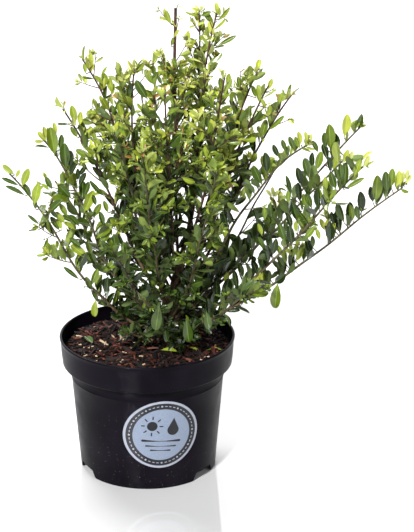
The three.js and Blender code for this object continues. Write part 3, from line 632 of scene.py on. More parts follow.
def to_pixel(point):
    """Where a point stands in the photograph, and the pixels in a millimetre there."""
    slope = radians(VIEW.elevation)
    offset = point - np.array(VIEW.target)
    depth = VIEW.distance + offset[1] * cos(slope) - offset[2] * sin(slope)
    scale = VIEW.pixels_per_mm * VIEW.distance / depth
    rise = offset[1] * sin(slope) + offset[2] * cos(slope)
    return np.array([IMAGE_WIDTH / 2 + offset[0] * scale, IMAGE_HEIGHT / 2 - rise * scale]), scale


def at_pixel(pixel, beside, behind=0.0):
    """The point at a pixel that is as deep in the scene as another point, or so far behind it."""
    here, scale = to_pixel(beside)
    slope = radians(VIEW.elevation)
    across, drop = (pixel - here) / scale
    return beside + np.array([across, behind, (-drop - behind * sin(slope)) / cos(slope)])


def grid_faces(rows, columns, wrapped):
    """Triangles over a grid of corners; a wrapped grid closes round its columns."""
    row, column = np.mgrid[0:rows - 1, 0:columns if wrapped else columns - 1]
    across = (column + 1) % columns
    a, b = row * columns + column, row * columns + across
    c, d = a + columns, b + columns
    return np.concatenate([
        np.stack([a, b, d], -1).reshape(-1, 3), np.stack([a, d, c], -1).reshape(-1, 3)])


def capped(rings, sides):
    """A closed tube over rings of corners, with a corner in the middle of each end."""
    count = len(rings)
    corners = np.concatenate([rings.reshape(-1, 3), rings[0].mean(0)[None], rings[-1].mean(0)[None]])
    here, after = np.arange(sides), (np.arange(sides) + 1) % sides
    first, last = count * sides, count * sides + 1
    start = np.stack([after, here, np.full(sides, first)], -1)
    end = np.stack([here, after, np.full(sides, last)], -1)
    end[:, :2] += (count - 1) * sides
    return corners, np.concatenate([grid_faces(count, sides, True), start, end])


def limb(points, radii, sides, relief=None):
    """A round limb along points; relief gives each corner's share of extra radius."""
    tangents = np.gradient(points, axis=0)
    across = np.cross(tangents[0], (0.3, 0.9, 0.1))
    turns = round_steps(sides)
    rings = np.empty((len(points), sides, 3))
    for i, (point, tangent) in enumerate(zip(points, tangents)):
        tangent = unit(tangent)
        across = unit(across - tangent * across.dot(tangent))
        other = np.cross(tangent, across)
        spokes = np.outer(np.cos(turns), across) + np.outer(np.sin(turns), other)
        reach = radii[i] * (1 + (relief[i] if relief is not None else 0))
        rings[i] = point + spokes * np.reshape(reach, (-1, 1))
    return capped(rings, sides)


def revolved(profile, segments, reshape=None):
    """A closed turned shape: its profile of (radius, height) starts and ends on the axis."""
    turns = round_steps(segments)
    radius, height = np.array(profile[1:-1], float).T
    radius = np.repeat(radius[:, None], segments, 1)
    height = np.repeat(height[:, None], segments, 1)
    if reshape:
        radius, height = reshape(radius, height, turns[None, :])
    rings = np.stack([radius * np.cos(turns), radius * np.sin(turns), height], -1)
    corners, faces = capped(rings, segments)
    corners[-2] = (0, 0, profile[0][1])
    corners[-1] = (0, 0, profile[-1][1])
    return corners, faces


def arc(centre, radius, start, end, steps):
    """Points round part of a circle, its angles in degrees."""
    spokes = [polar(radius, angle) for angle in np.linspace(start, end, steps)]
    return [(centre[0] + x, centre[1] + y) for x, y in spokes]


# ---- pot

def body_radius(height):
    return lerp(FOOT_RADIUS, BODY_TOP_RADIUS, height / COLLAR_FOOT)


def collar_radius(height):
    return lerp(COLLAR_FOOT_RADIUS, RIM_RADIUS, (height - COLLAR_FOOT) / (POT_HEIGHT - COLLAR_FOOT))


def body_points(*heights):
    return [(body_radius(height), height) for height in heights]


def pot_profile():
    """From the middle of the underside, out and up the outside, over the rim and down the inside."""
    channel_end = body_radius(CHANNEL_HEIGHT) - WALL
    under = [(0, 0), (CHANNEL_INNER_RADIUS - 0.6, 0), (CHANNEL_INNER_RADIUS, 0.5)]
    under += [(CHANNEL_INNER_RADIUS + CHANNEL_SLOPE, CHANNEL_HEIGHT), (channel_end - 0.8, CHANNEL_HEIGHT)]
    foot = [(radius - WALL, height) for radius, height in body_points(8.2, 5.5, 2.8, 0.4)]
    foot += [(FOOT_RADIUS - WALL + 0.4, 0), (FOOT_RADIUS - 0.4, 0)]
    foot += body_points(0.4, 2.8, 5.5, 8.2, 11, 14)
    middle, half = RIDGE.height, RIDGE.width
    body = body_points(30, 50, 70, middle - half)
    body += [(body_radius(middle) + RIDGE.depth, middle)]
    body += body_points(middle + half, 100, COLLAR_FOOT - 1.2)
    body += arc((BODY_TOP_RADIUS + 1.2, COLLAR_FOOT - 1.2), 1.2, 170, 90, 4)
    collar = arc((COLLAR_FOOT_RADIUS - 1.4, COLLAR_FOOT + 1.4), 1.4, -90, 0, 6)
    for height, step in ((COLLAR_FOOT + 10, 0), (COLLAR_FOOT + 22, 0.5)):
        collar.append((collar_radius(height) - step, height))
    rim = arc((RIM_RADIUS - LIP / 2, POT_HEIGHT - LIP / 2), LIP / 2, -40, 200, 12)
    ledge, channel_top = COLLAR_FOOT + WALL, CHANNEL_HEIGHT + WALL
    inside = [(collar_radius(z) - WALL, z) for z in (POT_HEIGHT - 4, MIX.top - 2, ledge + 1)]
    inside += [(BODY_TOP_RADIUS - WALL, ledge), (body_radius(channel_top) - WALL, channel_top)]
    inside += [(CHANNEL_INNER_RADIUS + WALL, channel_top), (CHANNEL_INNER_RADIUS - WALL, FLOOR), (0, FLOOR)]
    return under + foot + body + collar + rim + inside


def cut_notches(radius, height, turns):
    """Raises the foot ring over the drain notches, easing back to the plain wall above them."""
    lift = np.zeros_like(height)
    for i in range(NOTCH.count):
        centre = radians(NOTCH.first + i * 360 / NOTCH.count)
        away = np.abs((turns - centre + pi) % (2 * pi) - pi) * FOOT_RADIUS
        lift += NOTCH.height * smoothstep(NOTCH.width / 2 - away, 0, NOTCH.taper)
    on_foot = (radius > FOOT_RADIUS - WALL - 0.1) & (height < NOTCH.fade)
    outside = radius > body_radius(height) - WALL / 2
    raised = lift + height * (1 - lift / np.where(outside, NOTCH.fade, CHANNEL_HEIGHT))
    new_height = np.where(on_foot, raised, height)
    slope = (BODY_TOP_RADIUS - FOOT_RADIUS) / COLLAR_FOOT
    return radius + (new_height - height) * slope, new_height


def make_pot():
    pile = Pile()
    pile.add(*revolved(pot_profile(), 320, cut_notches))
    make_piece("nursery_pot", pile, [plastic_finish()], ["pot"], 40)


# ---- label

def on_wall(across, up, proud):
    """Points on the pot's body, from places on the label measured from its middle."""
    height = LABEL.height + up
    radius = body_radius(height)
    azimuth = radians(LABEL.degrees) + np.arcsin(across / radius)
    radius = radius + proud
    return np.stack([radius * np.cos(azimuth), radius * np.sin(azimuth), height], -1)


def add_patch(pile, outline, low, high, finish=0):
    """A thin closed plate on the wall inside an outline that can be seen whole from its middle."""
    outline = np.array(outline, float)
    middle = outline.mean(0)
    rings = [middle + (outline - middle) * step for step in (0.02, 0.2, 0.4, 0.6, 0.8, 1.0)]
    top = [on_wall(ring[:, 0], ring[:, 1], high) for ring in rings]
    bottom = [on_wall(ring[:, 0], ring[:, 1], low) for ring in rings]
    corners, faces = capped(np.array(bottom + top[::-1]), len(outline))
    pile.add(corners, faces, finish)


def circle(x, y, radius, count=24):
    return [(x + radius * cos(turn), y + radius * sin(turn)) for turn in round_steps(count)]


def bar(x, y, width, height, degrees=0.0):
    """The outline of a round-ended stroke."""
    half = max(width - height, 0) / 2
    outline = arc((half, 0), height / 2, -90, 90, 6) + arc((-half, 0), height / 2, 90, 270, 6)
    return [(x + px, y + py) for px, py in rotated(outline, degrees)]


def drop(x, y, size):
    """A water drop with its point up."""
    return arc((x, y), size, -210, 30, 20) + [(x, y + size * 2.3)]


def make_sticker(finishes):
    """The round sticker itself: pale edge, dark ring and pale disc, in that order of finishes."""
    turns = round_steps(96)
    wheel = np.stack([np.cos(turns), np.sin(turns)], -1)
    disc, ring = LABEL.disc, LABEL.pale_edge
    radii = np.array([0.2, 7, 14, 21, disc, disc + 0.01, 30.6, ring, LABEL.radius])
    top = [on_wall(*(wheel * radius).T, LABEL.face) for radius in radii]
    bottom = [on_wall(*(wheel * radius).T, LABEL.back) for radius in radii]
    corners, faces = capped(np.array(bottom + top[::-1]), len(turns))
    there_and_back = np.concatenate([radii, radii[::-1]])
    row = np.minimum(faces.min(1) // len(turns), 2 * len(radii) - 2)
    middle = (there_and_back[row] + there_and_back[np.minimum(row + 1, 2 * len(radii) - 1)]) / 2
    pile = Pile()
    pile.add(corners, faces, np.where(middle < disc, 2, np.where(middle < ring, 1, 0)))
    make_piece("label_sticker", pile, finishes, ["label"], 30)


def make_label():
    """A round sticker with plain marks of its own: a dotted ring, a sun, a drop and three bars."""
    edge = paper_finish("label_edge", (150, 155, 168))
    navy = paper_finish("label_ring", (11, 12, 21))
    make_sticker([edge, navy, paper_finish("label_disc", (124, 136, 156))])
    marks = Pile()
    ring_middle = (LABEL.disc + LABEL.pale_edge) / 2
    for i in range(MARKS.ring):
        turn = i * 360 / MARKS.ring
        x, y = polar(ring_middle, turn)
        mark = bar(x, y, *MARKS.dash, turn + 90) if i % 4 else circle(x, y, MARKS.dot, 12)
        add_patch(marks, mark, MARKS.low, MARKS.high)
    sun_x, sun_y = MARKS.sun
    design = [circle(sun_x, sun_y, MARKS.sun_radius)]
    for turn in range(0, 360, 45):
        x, y = polar(MARKS.rays_at, turn)
        design.append(bar(sun_x + x, sun_y + y, *MARKS.ray, turn))
    design.append(drop(*MARKS.drop))
    design += [bar(0, *stroke) for stroke in MARKS.bars]
    for outline in design:
        add_patch(marks, rotated(outline, LABEL.level), MARKS.low, MARKS.high, 1)
    make_piece("label_marks", marks, [edge, navy], (), 30)


# ---- bark mix

def mix_height(x, y):
    from_foot = np.hypot(x - TRUNK.x, y - TRUNK.y)
    calm = smoothstep(from_foot, MIX.seat, MIX.seat * 2)
    waves = np.sin(x * 0.11 + 1.3) + np.cos(y * 0.13 - x * 0.05) + 0.6 * np.sin(x * 0.21 + y * 0.27)
    edge = smoothstep(np.hypot(x, y), 55, 82)
    return MIX.top + calm * waves * MIX.roughness * 0.5 - edge * MIX.edge_drop


def roughness_at(x, y, scale, depth):
    """Seeded relief, one value for each place."""
    places = np.stack([np.ravel(x), np.ravel(y)], -1) / scale
    values = [noise.noise(Vector((px, py, 3.7))) for px, py in places]
    return np.reshape(values, np.shape(x)) * depth


def make_soil():
    """The bed of fine mix under the bark chips: it fills the pot and its top is crumbly."""
    edge = collar_radius(MIX.top - 4) - WALL - 0.5
    ledge, step, clear = COLLAR_FOOT + WALL + GAP, SOIL.step, SOIL.clear
    profile = [(0, FLOOR + GAP), (CHANNEL_INNER_RADIUS - 4, FLOOR + GAP)]
    profile += [(CHANNEL_INNER_RADIUS + 1, step), (body_radius(step) - clear, step)]
    profile += [(BODY_TOP_RADIUS - clear, ledge), (collar_radius(ledge) - clear, ledge)]
    profile += [(edge * share, MIX.top) for share in np.linspace(1, 0, 44)]

    def crumble(radius, height, turns):
        x, y = radius * np.cos(turns), radius * np.sin(turns)
        top = mix_height(x, y) - SOIL.sunk
        for scale, depth in SOIL.clods:
            top += roughness_at(x, y, scale, depth)
        return radius, np.where(height > MIX.top - 1, top, height)

    pile = Pile()
    pile.add(*revolved(profile, 150, crumble))
    make_piece("soil_bed", pile, [soil_finish()], ["potting_mix"], 60)


def turned_basis(heading, pitch, roll):
    """Three axes: along, across and up, of a thing lying at a heading, pitched and rolled."""
    turns = [Matrix.Rotation(turn, 3, axis) for turn, axis in ((heading, "Z"), (pitch, "Y"), (roll, "X"))]
    return np.array(turns[0] @ turns[1] @ turns[2]).T


def add_chip(pile, place, length, width, thickness, finish):
    """A shred of bark: four uneven sections, bent and tapering to ragged ends."""
    basis = turned_basis(rng.uniform(0, 2 * pi), rng.normal(0, 0.3), rng.normal(0, 0.6))
    bend = rng.normal(0, 0.12) * length
    rings = []
    for share, swell in ((-0.5, 0.45), (-0.2, 0.95), (0.2, 1.0), (0.5, 0.4)):
        half = width / 2 * swell * rng.uniform(0.75, 1.2)
        thick = thickness / 2 * rng.uniform(0.7, 1.2)
        shift = rng.normal(0, 0.08) * width
        section = np.array([(half, -thick), (half, thick), (-half, thick), (-half, -thick)])
        lift = bend * (0.25 - share * share)
        rings.append([
            place + basis[0] * share * length + basis[1] * (a + shift) + basis[2] * (b + lift)
            for a, b in section
        ])
    corners, faces = capped(np.array(rings), 4)
    pile.add(corners, faces, finish)


def make_chips():
    """Bark shreds and bits of wood strewn over the bed, in a few plain colours."""
    shares = np.array([share for _, share in CHIP_COLOURS.values()])
    finishes = [chip_finish(name, colour) for name, (colour, _) in CHIP_COLOURS.items()]
    pile = Pile()
    for _ in range(CHIPS.count):
        length = rng.uniform(*CHIPS.length) * rng.choice([0.7, 1, 1.5], p=[0.5, 0.35, 0.15])
        reach = (CHIPS.reach - length * 0.45) * sqrt(rng.uniform(0, 1))
        turn = rng.uniform(0, 2 * pi)
        x, y = reach * cos(turn), reach * sin(turn)
        if hypot(x - TRUNK.x, y - TRUNK.y) < TRUNK.base + CHIPS.clear_of_trunk:
            continue
        place = np.array([x, y, float(mix_height(x, y)) + rng.uniform(*CHIPS.rise)])
        width = length * rng.uniform(*CHIPS.width)
        finish = rng.choice(len(shares), p=shares / shares.sum())
        add_chip(pile, place, length, width, rng.uniform(*CHIPS.thickness), finish)
    make_piece("bark_chips", pile, finishes, (), 35)


# ---- trunk, boughs and shoots

def trunk_centre(height):
    share = max(height, 0) / TRUNK.height
    lean = TRUNK.lean
    return np.array([
        TRUNK.x + lean[0] * share ** TRUNK.bend, TRUNK.y + lean[1] * share,
        MIX.top + GAP + height])


def trunk_radius(height):
    flare = FLARE.extra * exp(-height / FLARE.height)
    return lerp(TRUNK.base, TRUNK.tip, height / TRUNK.height) + flare


def bark_relief(points, radii, sides, depth):
    """Long plates and fissures up a limb, as each corner's share of extra radius."""
    relief = np.empty((len(points), sides))
    for i, point in enumerate(points):
        for j, turn in enumerate(round_steps(sides)):
            x, y = cos(turn) * radii[i], sin(turn) * radii[i]
            plates = noise.noise(Vector((x / 1.3, y / 1.3, point[2] / 9)))
            grit = noise.noise(Vector((x / 0.5, y / 0.5, point[2] / 2)))
            relief[i, j] = depth * (abs(plates) * 1.6 - 0.4 + grit * 0.5) / radii[i]
    return relief


def make_trunk():
    heights = np.concatenate([np.linspace(0, 12, 22), np.linspace(12.8, TRUNK.height, 70)])
    points = np.array([trunk_centre(height) for height in heights])
    radii = np.array([trunk_radius(height) for height in heights])
    radii[-1] *= 0.5
    sides = 44
    buttress = 0.16 * np.cos(round_steps(sides) * 5 + 0.6)[None, :] * np.exp(-heights / 5)[:, None]
    pile = Pile()
    pile.add(*limb(points, radii, sides, bark_relief(points, radii, sides, 0.5) + buttress))
    finish = bark_finish("trunk_bark", (40, 31, 25), (92, 76, 60), 0.8)
    make_piece("trunk_bark", pile, [finish], ["trunk"], 60)


class Shoot:
    """A long shoot's axis, evenly spaced points along it, and its radius at each share of it."""

    POINTS = 90

    def __init__(self, name, degrees, reach, height, root, leave, arrive, bare, habit):
        self.name, self.bare, self.habit = name, bare, HABITS[habit]
        self.bare_top = habit == "leader"
        start = trunk_centre(root)
        x, y = polar(reach, degrees)
        tip = np.array([TRUNK.x + x, TRUNK.y + y, MIX.top + height])
        heading = atan2(tip[1] - start[1], tip[0] - start[0])
        handle = norm(tip - start) * HANDLE
        leave, arrive = slant(heading, leave) * handle, slant(heading, arrive) * handle
        curve = bezier([start, start + leave, tip - arrive, tip], 400)
        walked = walked_along(curve)
        self.length = walked[-1]
        even = np.linspace(0, self.length, self.POINTS + 1)
        self.points = np.stack([np.interp(even, walked, curve[:, axis]) for axis in range(3)], -1)
        way = np.linspace(0, 1, self.POINTS + 1)[:, None]
        waves = np.sin(way * rng.uniform(9, 22, 3) + rng.uniform(0, 2 * pi, 3))
        self.points += waves * np.sin(way * pi) * WOBBLE
        leafy = np.clip((way[:, 0] - bare) / (1 - bare), 0, 1)
        sag, drop = DROOPS.get(name, (0, 0))
        self.points[:, 2] -= sag * np.sin(leafy * pi) + drop * leafy ** 2
        self.root_radius = ROOT_RADIUS + self.length / LENGTH_PER_RADIUS
        self.tip_radius = BARE_TOP.radius if self.bare_top else TIP_RADIUS

    def radius(self, share):
        return lerp(self.tip_radius, self.root_radius, 1 - share)

    def at(self, share):
        """The point and the direction at a share of the shoot's length."""
        place = np.clip(share, 0, 1) * self.POINTS
        low = min(int(place), self.POINTS - 1)
        point = lerp(self.points[low], self.points[low + 1], place - low)
        return point, unit(self.points[low + 1] - self.points[low])

    def nearest(self, pixel):
        """The point of the shoot that shows nearest to a pixel."""
        return min(self.points, key=lambda point: np.sum((to_pixel(point)[0] - pixel) ** 2))

    def stretch(self, low, high, step):
        """Points and radii along part of the shoot, about step apart."""
        count = max(3, int(self.length * (high - low) / step) + 1)
        shares = np.linspace(low, high, count)
        return np.array([self.at(share)[0] for share in shares]), self.radius(shares)


def slant(heading, slope):
    flat = cos(radians(slope))
    return np.array([cos(heading) * flat, sin(heading) * flat, sin(radians(slope))])


def all_shoots():
    shoots = [Shoot(*row) for row in SHOOTS]
    count = len(SKIRT["degrees"])
    for i, degrees in enumerate(SKIRT["degrees"]):
        reach, height = (
            SKIRT[size] + SKIRT[size + "_spread"] * ((i * SKIRT[size + "_step"]) % count) / count
            for size in ("reach", "height"))
        ways = SKIRT["root"], SKIRT["leave"], SKIRT["arrive"]
        shoots.append(Shoot(f"skirt_{i + 1}", degrees, reach, height, *ways, 0, "low"))
    return shoots + [Shoot(*LEADER)]


def make_boughs(shoots):
    """The bare lower stretch of each long shoot, its foot sunk in the trunk's bark."""
    pile = Pile()
    for shoot in shoots:
        if shoot.bare > 0:
            points, radii = shoot.stretch(0, shoot.bare, 1.3)
            pile.add(*limb(points, radii, 18, bark_relief(points, radii, 18, 0.16)))
    finish = bark_finish("bough_bark", (46, 33, 27), (98, 80, 58), 0.6)
    replaced = [f"bough_{shoot.name}" for shoot in shoots if shoot.bare > 0]
    make_piece("bough_bark", pile, [finish], replaced, 60)


# ---- foliage

UP = np.array([0.0, 0.0, 1.0])


def leaf_template(across, blade, fold, arch, twist):
    """A closed thin leaf along +Y, one unit long and one wide, on a short stalk.

    Its corners stand at shares across its width and along its blade.  fold lifts the margins, arch
    bends the tip down and twist turns the blade along its length.  Its faces are of three finishes:
    the upper face, the underside and the midrib, whose light tint is partly a painted highlight.
    """
    columns, blade = np.array(across), np.array(blade)
    bulge = log(0.5) / log(LEAF.widest)
    width = np.maximum(np.sin(pi * blade ** bulge) ** LEAF.roundness, LEAF.stalk_width)
    half = np.concatenate([[LEAF.stalk_width], width]) / 2
    along = np.concatenate([[0.0], LEAF.petiole + (1 - LEAF.petiole) * blade])
    x = half[:, None] * columns[None, :]
    y = np.repeat(along[:, None], len(columns), 1)
    rise = fold * np.abs(x) - arch * y ** 2
    turn = twist * y
    x, z = x * np.cos(turn) - rise * np.sin(turn), rise * np.cos(turn) + x * np.sin(turn)
    thick = LEAF.thickness / 2 * (1 - columns ** 2)
    upper, lower = np.stack([x, y, z + thick], -1), np.stack([x, y, z - thick], -1)
    rings = np.concatenate([upper, lower[:, -2:0:-1]], 1)
    sides = len(rings[0])
    corners, faces = capped(rings, sides)
    column = np.arange(sides)
    middle = len(columns) // 2 - 1
    has_rib = len(columns) % 2 == 0
    finish = np.where(column >= len(columns) - 1, 1, np.where(has_rib & (column == middle), 2, 0))
    finish = np.concatenate([np.tile(finish, 2 * (len(rings) - 1)), np.zeros(2 * sides, int)])
    return corners, faces[:, ::-1], finish


RIB = LEAF.rib
FINE_ACROSS, FINE_BLADE = (-1, -0.55, -RIB, RIB, 0.55, 1), (0.02, 0.15, 0.36, 0.6, 0.8, 0.93, 0.99)
PLAIN_ACROSS, PLAIN_BLADE = (-1, 0, 1), (0.03, 0.3, 0.6, 0.85, 0.97)
# The fold, arch and twist of each template, the finely cut ones first.
FINE_BENDS = ((0.25, 0.06, 0.0), (0.45, 0.16, 0.2), (-0.15, 0.1, -0.15), (0.2, -0.1, 0.15))
PLAIN_BENDS = ((0.3, 0.14, 0.1), (0.2, 0.3, -0.2))
LEAF_TEMPLATES = [leaf_template(FINE_ACROSS, FINE_BLADE, *bends) for bends in FINE_BENDS]
LEAF_TEMPLATES += [leaf_template(PLAIN_ACROSS, PLAIN_BLADE, *bends) for bends in PLAIN_BENDS]
FINE_TEMPLATES, PLAIN_TEMPLATES = (0, 1, 2, 3), (4, 5)
SMALL_LEAF = 12


class Foliage:
    """Leaves, gathered by tint and template, and the young stems that carry them."""

    def __init__(self):
        self.leaves = {}
        self.stems = {"purple": Pile(), "olive": Pile()}
        self.taken = {}
        self.placed = []

    def add_stem(self, habit, points, radii, sides=5):
        self.stems[habit.stem].add(*limb(points, radii, sides))

    def crowded(self, place, distance):
        """Whether another leaf's middle already lies this close."""
        cell = tuple(np.floor(place / 6).astype(int))
        near = [
            other
            for dx in (-1, 0, 1) for dy in (-1, 0, 1) for dz in (-1, 0, 1)
            for other in self.taken.get((cell[0] + dx, cell[1] + dy, cell[2] + dz), ())
        ]
        if any(np.sum((other - place) ** 2) < distance * distance for other in near):
            return True
        self.taken.setdefault(cell, []).append(place)
        return False

    def add_leaf(self, root, along, facing, length, tint):
        """One leaf, unless it would be buried, lie in another or hide one that was placed by itself."""
        middle, end = root + along * length * 0.55, root + along * length
        choices = PLAIN_TEMPLATES if length < SMALL_LEAF else FINE_TEMPLATES
        template = choices[rng.integers(len(choices))]
        breadth = LEAF.width * rng.uniform(0.88, 1.14)
        if not (in_open(middle) and in_open(end)) or in_gap(middle) or in_gap(end):
            return
        if self.crowded(middle, length * LEAF.spacing) or self.hides_placed(middle):
            return
        self.keep_leaf(root, along, facing, length, breadth, tint, template)

    def hides_placed(self, middle):
        pixel, _ = to_pixel(middle)
        return any(
            np.sum((pixel - other) ** 2) < reach * reach and middle[1] < depth + 8
            for other, reach, depth in self.placed)

    def keep_leaf(self, root, along, facing, length, breadth, tint, template):
        side = unit(np.cross(along, facing))
        normal = np.cross(side, along)
        basis = np.array([side * length * breadth, along * length, normal * length])
        self.leaves.setdefault((tint, template), []).append((root, basis))


def in_open(point):
    """Over the mix, clear of the pot's rim and outside the trunk."""
    height = point[2] - MIX.top
    if point[2] < mix_height(point[0], point[1]) + CLEAR.mix:
        return False
    widest = RIM_RADIUS - LIP - CLEAR.inside_rim
    if point[2] < POT_HEIGHT + CLEAR.over_rim and hypot(point[0], point[1]) > widest:
        return False
    if height > TRUNK.height:
        return True
    return norm(point - trunk_centre(height)) > trunk_radius(height) + CLEAR.trunk


def in_gap(point):
    """Whether the photograph shows sky here."""
    pixel, _ = to_pixel(point)
    return any(((pixel[0] - x) / wide) ** 2 + ((pixel[1] - y) / high) ** 2 < 1 for x, y, wide, high in GAPS)


def sideways(tangent, turn, slope, rise):
    """A direction that leaves a stem at a slope, turned round it and drawn towards the light."""
    level = np.cross(tangent, UP)
    level = unit(level) if level.dot(level) > 1e-4 else np.array([1.0, 0.0, 0.0])
    other = np.cross(tangent, level)
    turn = radians(turn)
    side = level * cos(turn) + other * sin(turn) + UP * rise
    side = unit(side - tangent * side.dot(tangent))
    slope = radians(slope)
    return unit(tangent * cos(slope) + side * sin(slope))


def leaf_facing(tangent, along, habit):
    """Where a leaf's upper face looks: to its stem's tip and the light, or out to one side.

    Leaves of an upright habit stand in the plane of their stem, as hands do in a row.
    """
    if habit.upright and tangent.dot(UP) < 0.9:
        facing = unit(np.cross(tangent, UP)) * rng.choice((-1, 1))
    else:
        facing = tangent * 0.5 + UP * 0.45
    facing = facing + rng.normal(0, habit.stray, 3)
    facing = facing - along * facing.dot(along)
    return unit(facing)


def tint_step(point, from_tip, young):
    """How far down the ladder of tints a leaf stands: deeper with age; deeper low down and lighter
    higher up, partly the crown's own younger green and partly painted shade and light; deeper
    inside the crown and in the skirt, which is painted shade.
    """
    height = (point[2] - MIX.top) / CROWN_HEIGHT
    outward = hypot(point[0] - TRUNK.x, point[1] - TRUNK.y)
    # The foot-to-top step is partly the young growth's own green and partly painted light and shade; the
    # inside and skirt steps paint shade.
    base = lerp(SHADING.foot, SHADING.top, smoothstep(height, 0.25, 0.98))
    base += SHADING.inside * (1 - smoothstep(outward, 15, 80))
    base += SHADING.skirt * (1 - smoothstep(height, 0.06, 0.3))
    return base - lerp(*SHADING.newest, smoothstep(height, 0.2, 0.7)) * exp(-from_tip / young)


def tint_at(step):
    return LADDER[int(np.clip(round(step), 0, len(LADDER) - 1))]


def add_tuft(foliage, tip, tangent, habit, shift):
    """The small new leaves that crowd a growing tip, a few of them still bronze."""
    offset = rng.uniform(0, 360)
    newest = tint_step(tip, 0, habit.young) - TIP_TUFT.lighter + shift
    for i in range(TIP_TUFT.count):
        share = i / (TIP_TUFT.count - 1)
        along = sideways(tangent, offset + i * GROWTH.turn, lerp(*TIP_TUFT.slope, share), 0.1)
        length = lerp(*TIP_TUFT.length, share) * rng.uniform(0.85, 1.15) * habit.leaf / 19
        bronze = newest < TIP_TUFT.bronze_under and rng.uniform() < TIP_TUFT.bronze_share
        tint = "bronze" if bronze else tint_at(newest + share)
        root = tip - tangent * share * TIP_TUFT.spacing
        foliage.add_leaf(root, along, leaf_facing(tangent, along, habit), length, tint)


def add_leaves(foliage, at, length, habit, step, first, last, shift, full=1.0):
    """Leaves in a spiral down a stem, small at its tip; first and last are measured from the tip."""
    turn = rng.uniform(0, 360)
    place = first
    while place < last:
        point, tangent = at(1 - place / length)
        size = habit.leaf * full * (1 - 0.45 * exp(-place / 12)) * rng.uniform(0.8, 1.12)
        slope = habit.slope + rng.normal(0, 9)
        along = sideways(tangent, turn, slope, habit.rise * rng.uniform(0.5, 1.4))
        spread = 1 - 0.5 * exp(-place / habit.young)
        tint = tint_at(tint_step(point, place, habit.young) + shift + rng.normal(0, spread))
        foliage.add_leaf(point, along, leaf_facing(tangent, along, habit), size, tint)
        turn += GROWTH.turn + rng.normal(0, 10)
        place += step * rng.uniform(0.75, 1.3)


def grow_stem(foliage, points, habit, shift, level=1):
    """A side stem along points, with its own leaves and, if it is long, finer sprigs."""
    if in_gap(points[-1]) or not in_open(points[-1]):
        return
    walked = walked_along(points)
    length = walked[-1]

    def at(share):
        low = min(int(np.searchsorted(walked, share * length, "right")) - 1, len(points) - 2)
        inside = (share * length - walked[low]) / (walked[low + 1] - walked[low])
        return lerp(points[low], points[low + 1], inside), unit(points[low + 1] - points[low])

    radii = np.linspace(SIDE_STEM.foot + length * SIDE_STEM.gain, SIDE_STEM.tip, len(points))
    foliage.add_stem(habit, points, radii)
    tip, tangent = at(1)
    add_tuft(foliage, tip, tangent, habit, shift)
    add_leaves(foliage, at, length, habit, habit.leaf_step * 0.9, 3.5, length - 2.5, shift, 0.95)
    if level == 1 and length > SIDE_STEM.branching and habit is not HABITS["tiny"]:
        turn = rng.uniform(0, 360)
        for place in np.arange(9, length - 6, 10):
            point, tangent = at(1 - place / length)
            finer = sideways(tangent, turn, GROWTH.sprig_slope + rng.normal(0, 7), 0.4)
            grow_sprig(foliage, point, finer, rng.uniform(7, 8 + place * 0.4), habit, shift, 2)
            turn += GROWTH.turn


def grow_sprig(foliage, root, heading, length, habit, shift, level=1):
    """A short side stem that curves up."""
    steps = np.linspace(0, 1, 6)[:, None]
    bend = UP * GROWTH.curl_up * length * length * 0.3
    grow_stem(foliage, root + heading * length * steps + bend * steps ** 2, habit, shift, level)


def grow_side_branches(foliage, by_name):
    rows = [(name, *row) for name, branches in SIDE_BRANCHES.items() for row in branches]
    for number, (name, root_pixel, tip_pixel, behind, habit, shift) in enumerate(rows):
        reseed(BRANCH_SEED + number)
        root = by_name[name].nearest(root_pixel)
        tip = at_pixel(tip_pixel, root, behind)
        middle = lerp(root, tip, 0.5) - UP * norm(tip - root) * 0.1
        points = bezier([root, middle, tip], 8)
        grow_stem(foliage, points, HABITS[habit], shift)


def grow_shoot(foliage, shoot):
    """The leafy part of a long shoot: its stem, its side sprigs and their leaves."""
    habit = shoot.habit
    end = 1 - (BARE_TOP.stub if shoot.bare_top else TIP_LEAVES) / shoot.length
    points, radii = shoot.stretch(max(shoot.bare - 0.01, 0), end, 6)
    foliage.add_stem(habit, points, radii, 8)
    # These steps paint shade or light on all of the shoot's leaves.
    shift = PAINTED_LIGHT_AND_SHADE.get(shoot.name, 0) + rng.normal(0, 0.3)
    leafy = shoot.length * (1 - shoot.bare * 0.35) - 14
    top = BARE_TOP.length if shoot.bare_top else TIP_LEAVES
    if not shoot.bare_top:
        tip, tangent = shoot.at(end)
        add_tuft(foliage, tip, tangent, habit, shift)
    turn = rng.uniform(0, 360)
    place = top + 8
    while place < leafy:
        point, tangent = shoot.at(1 - place / shoot.length)
        shortest, longest = habit.sprig
        length = rng.uniform(shortest * 0.7, min(longest, shortest * 0.7 + (place - TIP_LEAVES) * 0.45))
        heading = sideways(tangent, turn, GROWTH.sprig_slope + rng.normal(0, 8), 0.35)
        grow_sprig(foliage, point, heading, length, habit, shift + rng.normal(0, 0.35))
        turn += GROWTH.turn
        place += habit.sprig_step * rng.uniform(0.8, 1.25)
    add_leaves(foliage, shoot.at, shoot.length, habit, habit.leaf_step, top + 3, leafy, shift)


def place_leaf(foliage, stalk, tip, facing, breadth, tint):
    """One leaf between two points, with its broad side to where it faces."""
    along = unit(tip - stalk)
    length = norm(tip - stalk)
    facing = np.array(facing) + rng.normal(0, 0.2, 3)
    facing = unit(facing - along * facing.dot(along))
    middle = lerp(stalk, tip, 0.55)
    foliage.placed.append((to_pixel(middle)[0], 2 + length * 0.2, middle[1]))
    foliage.keep_leaf(stalk, along, facing, length, breadth, tint, FINE_TEMPLATES[0])


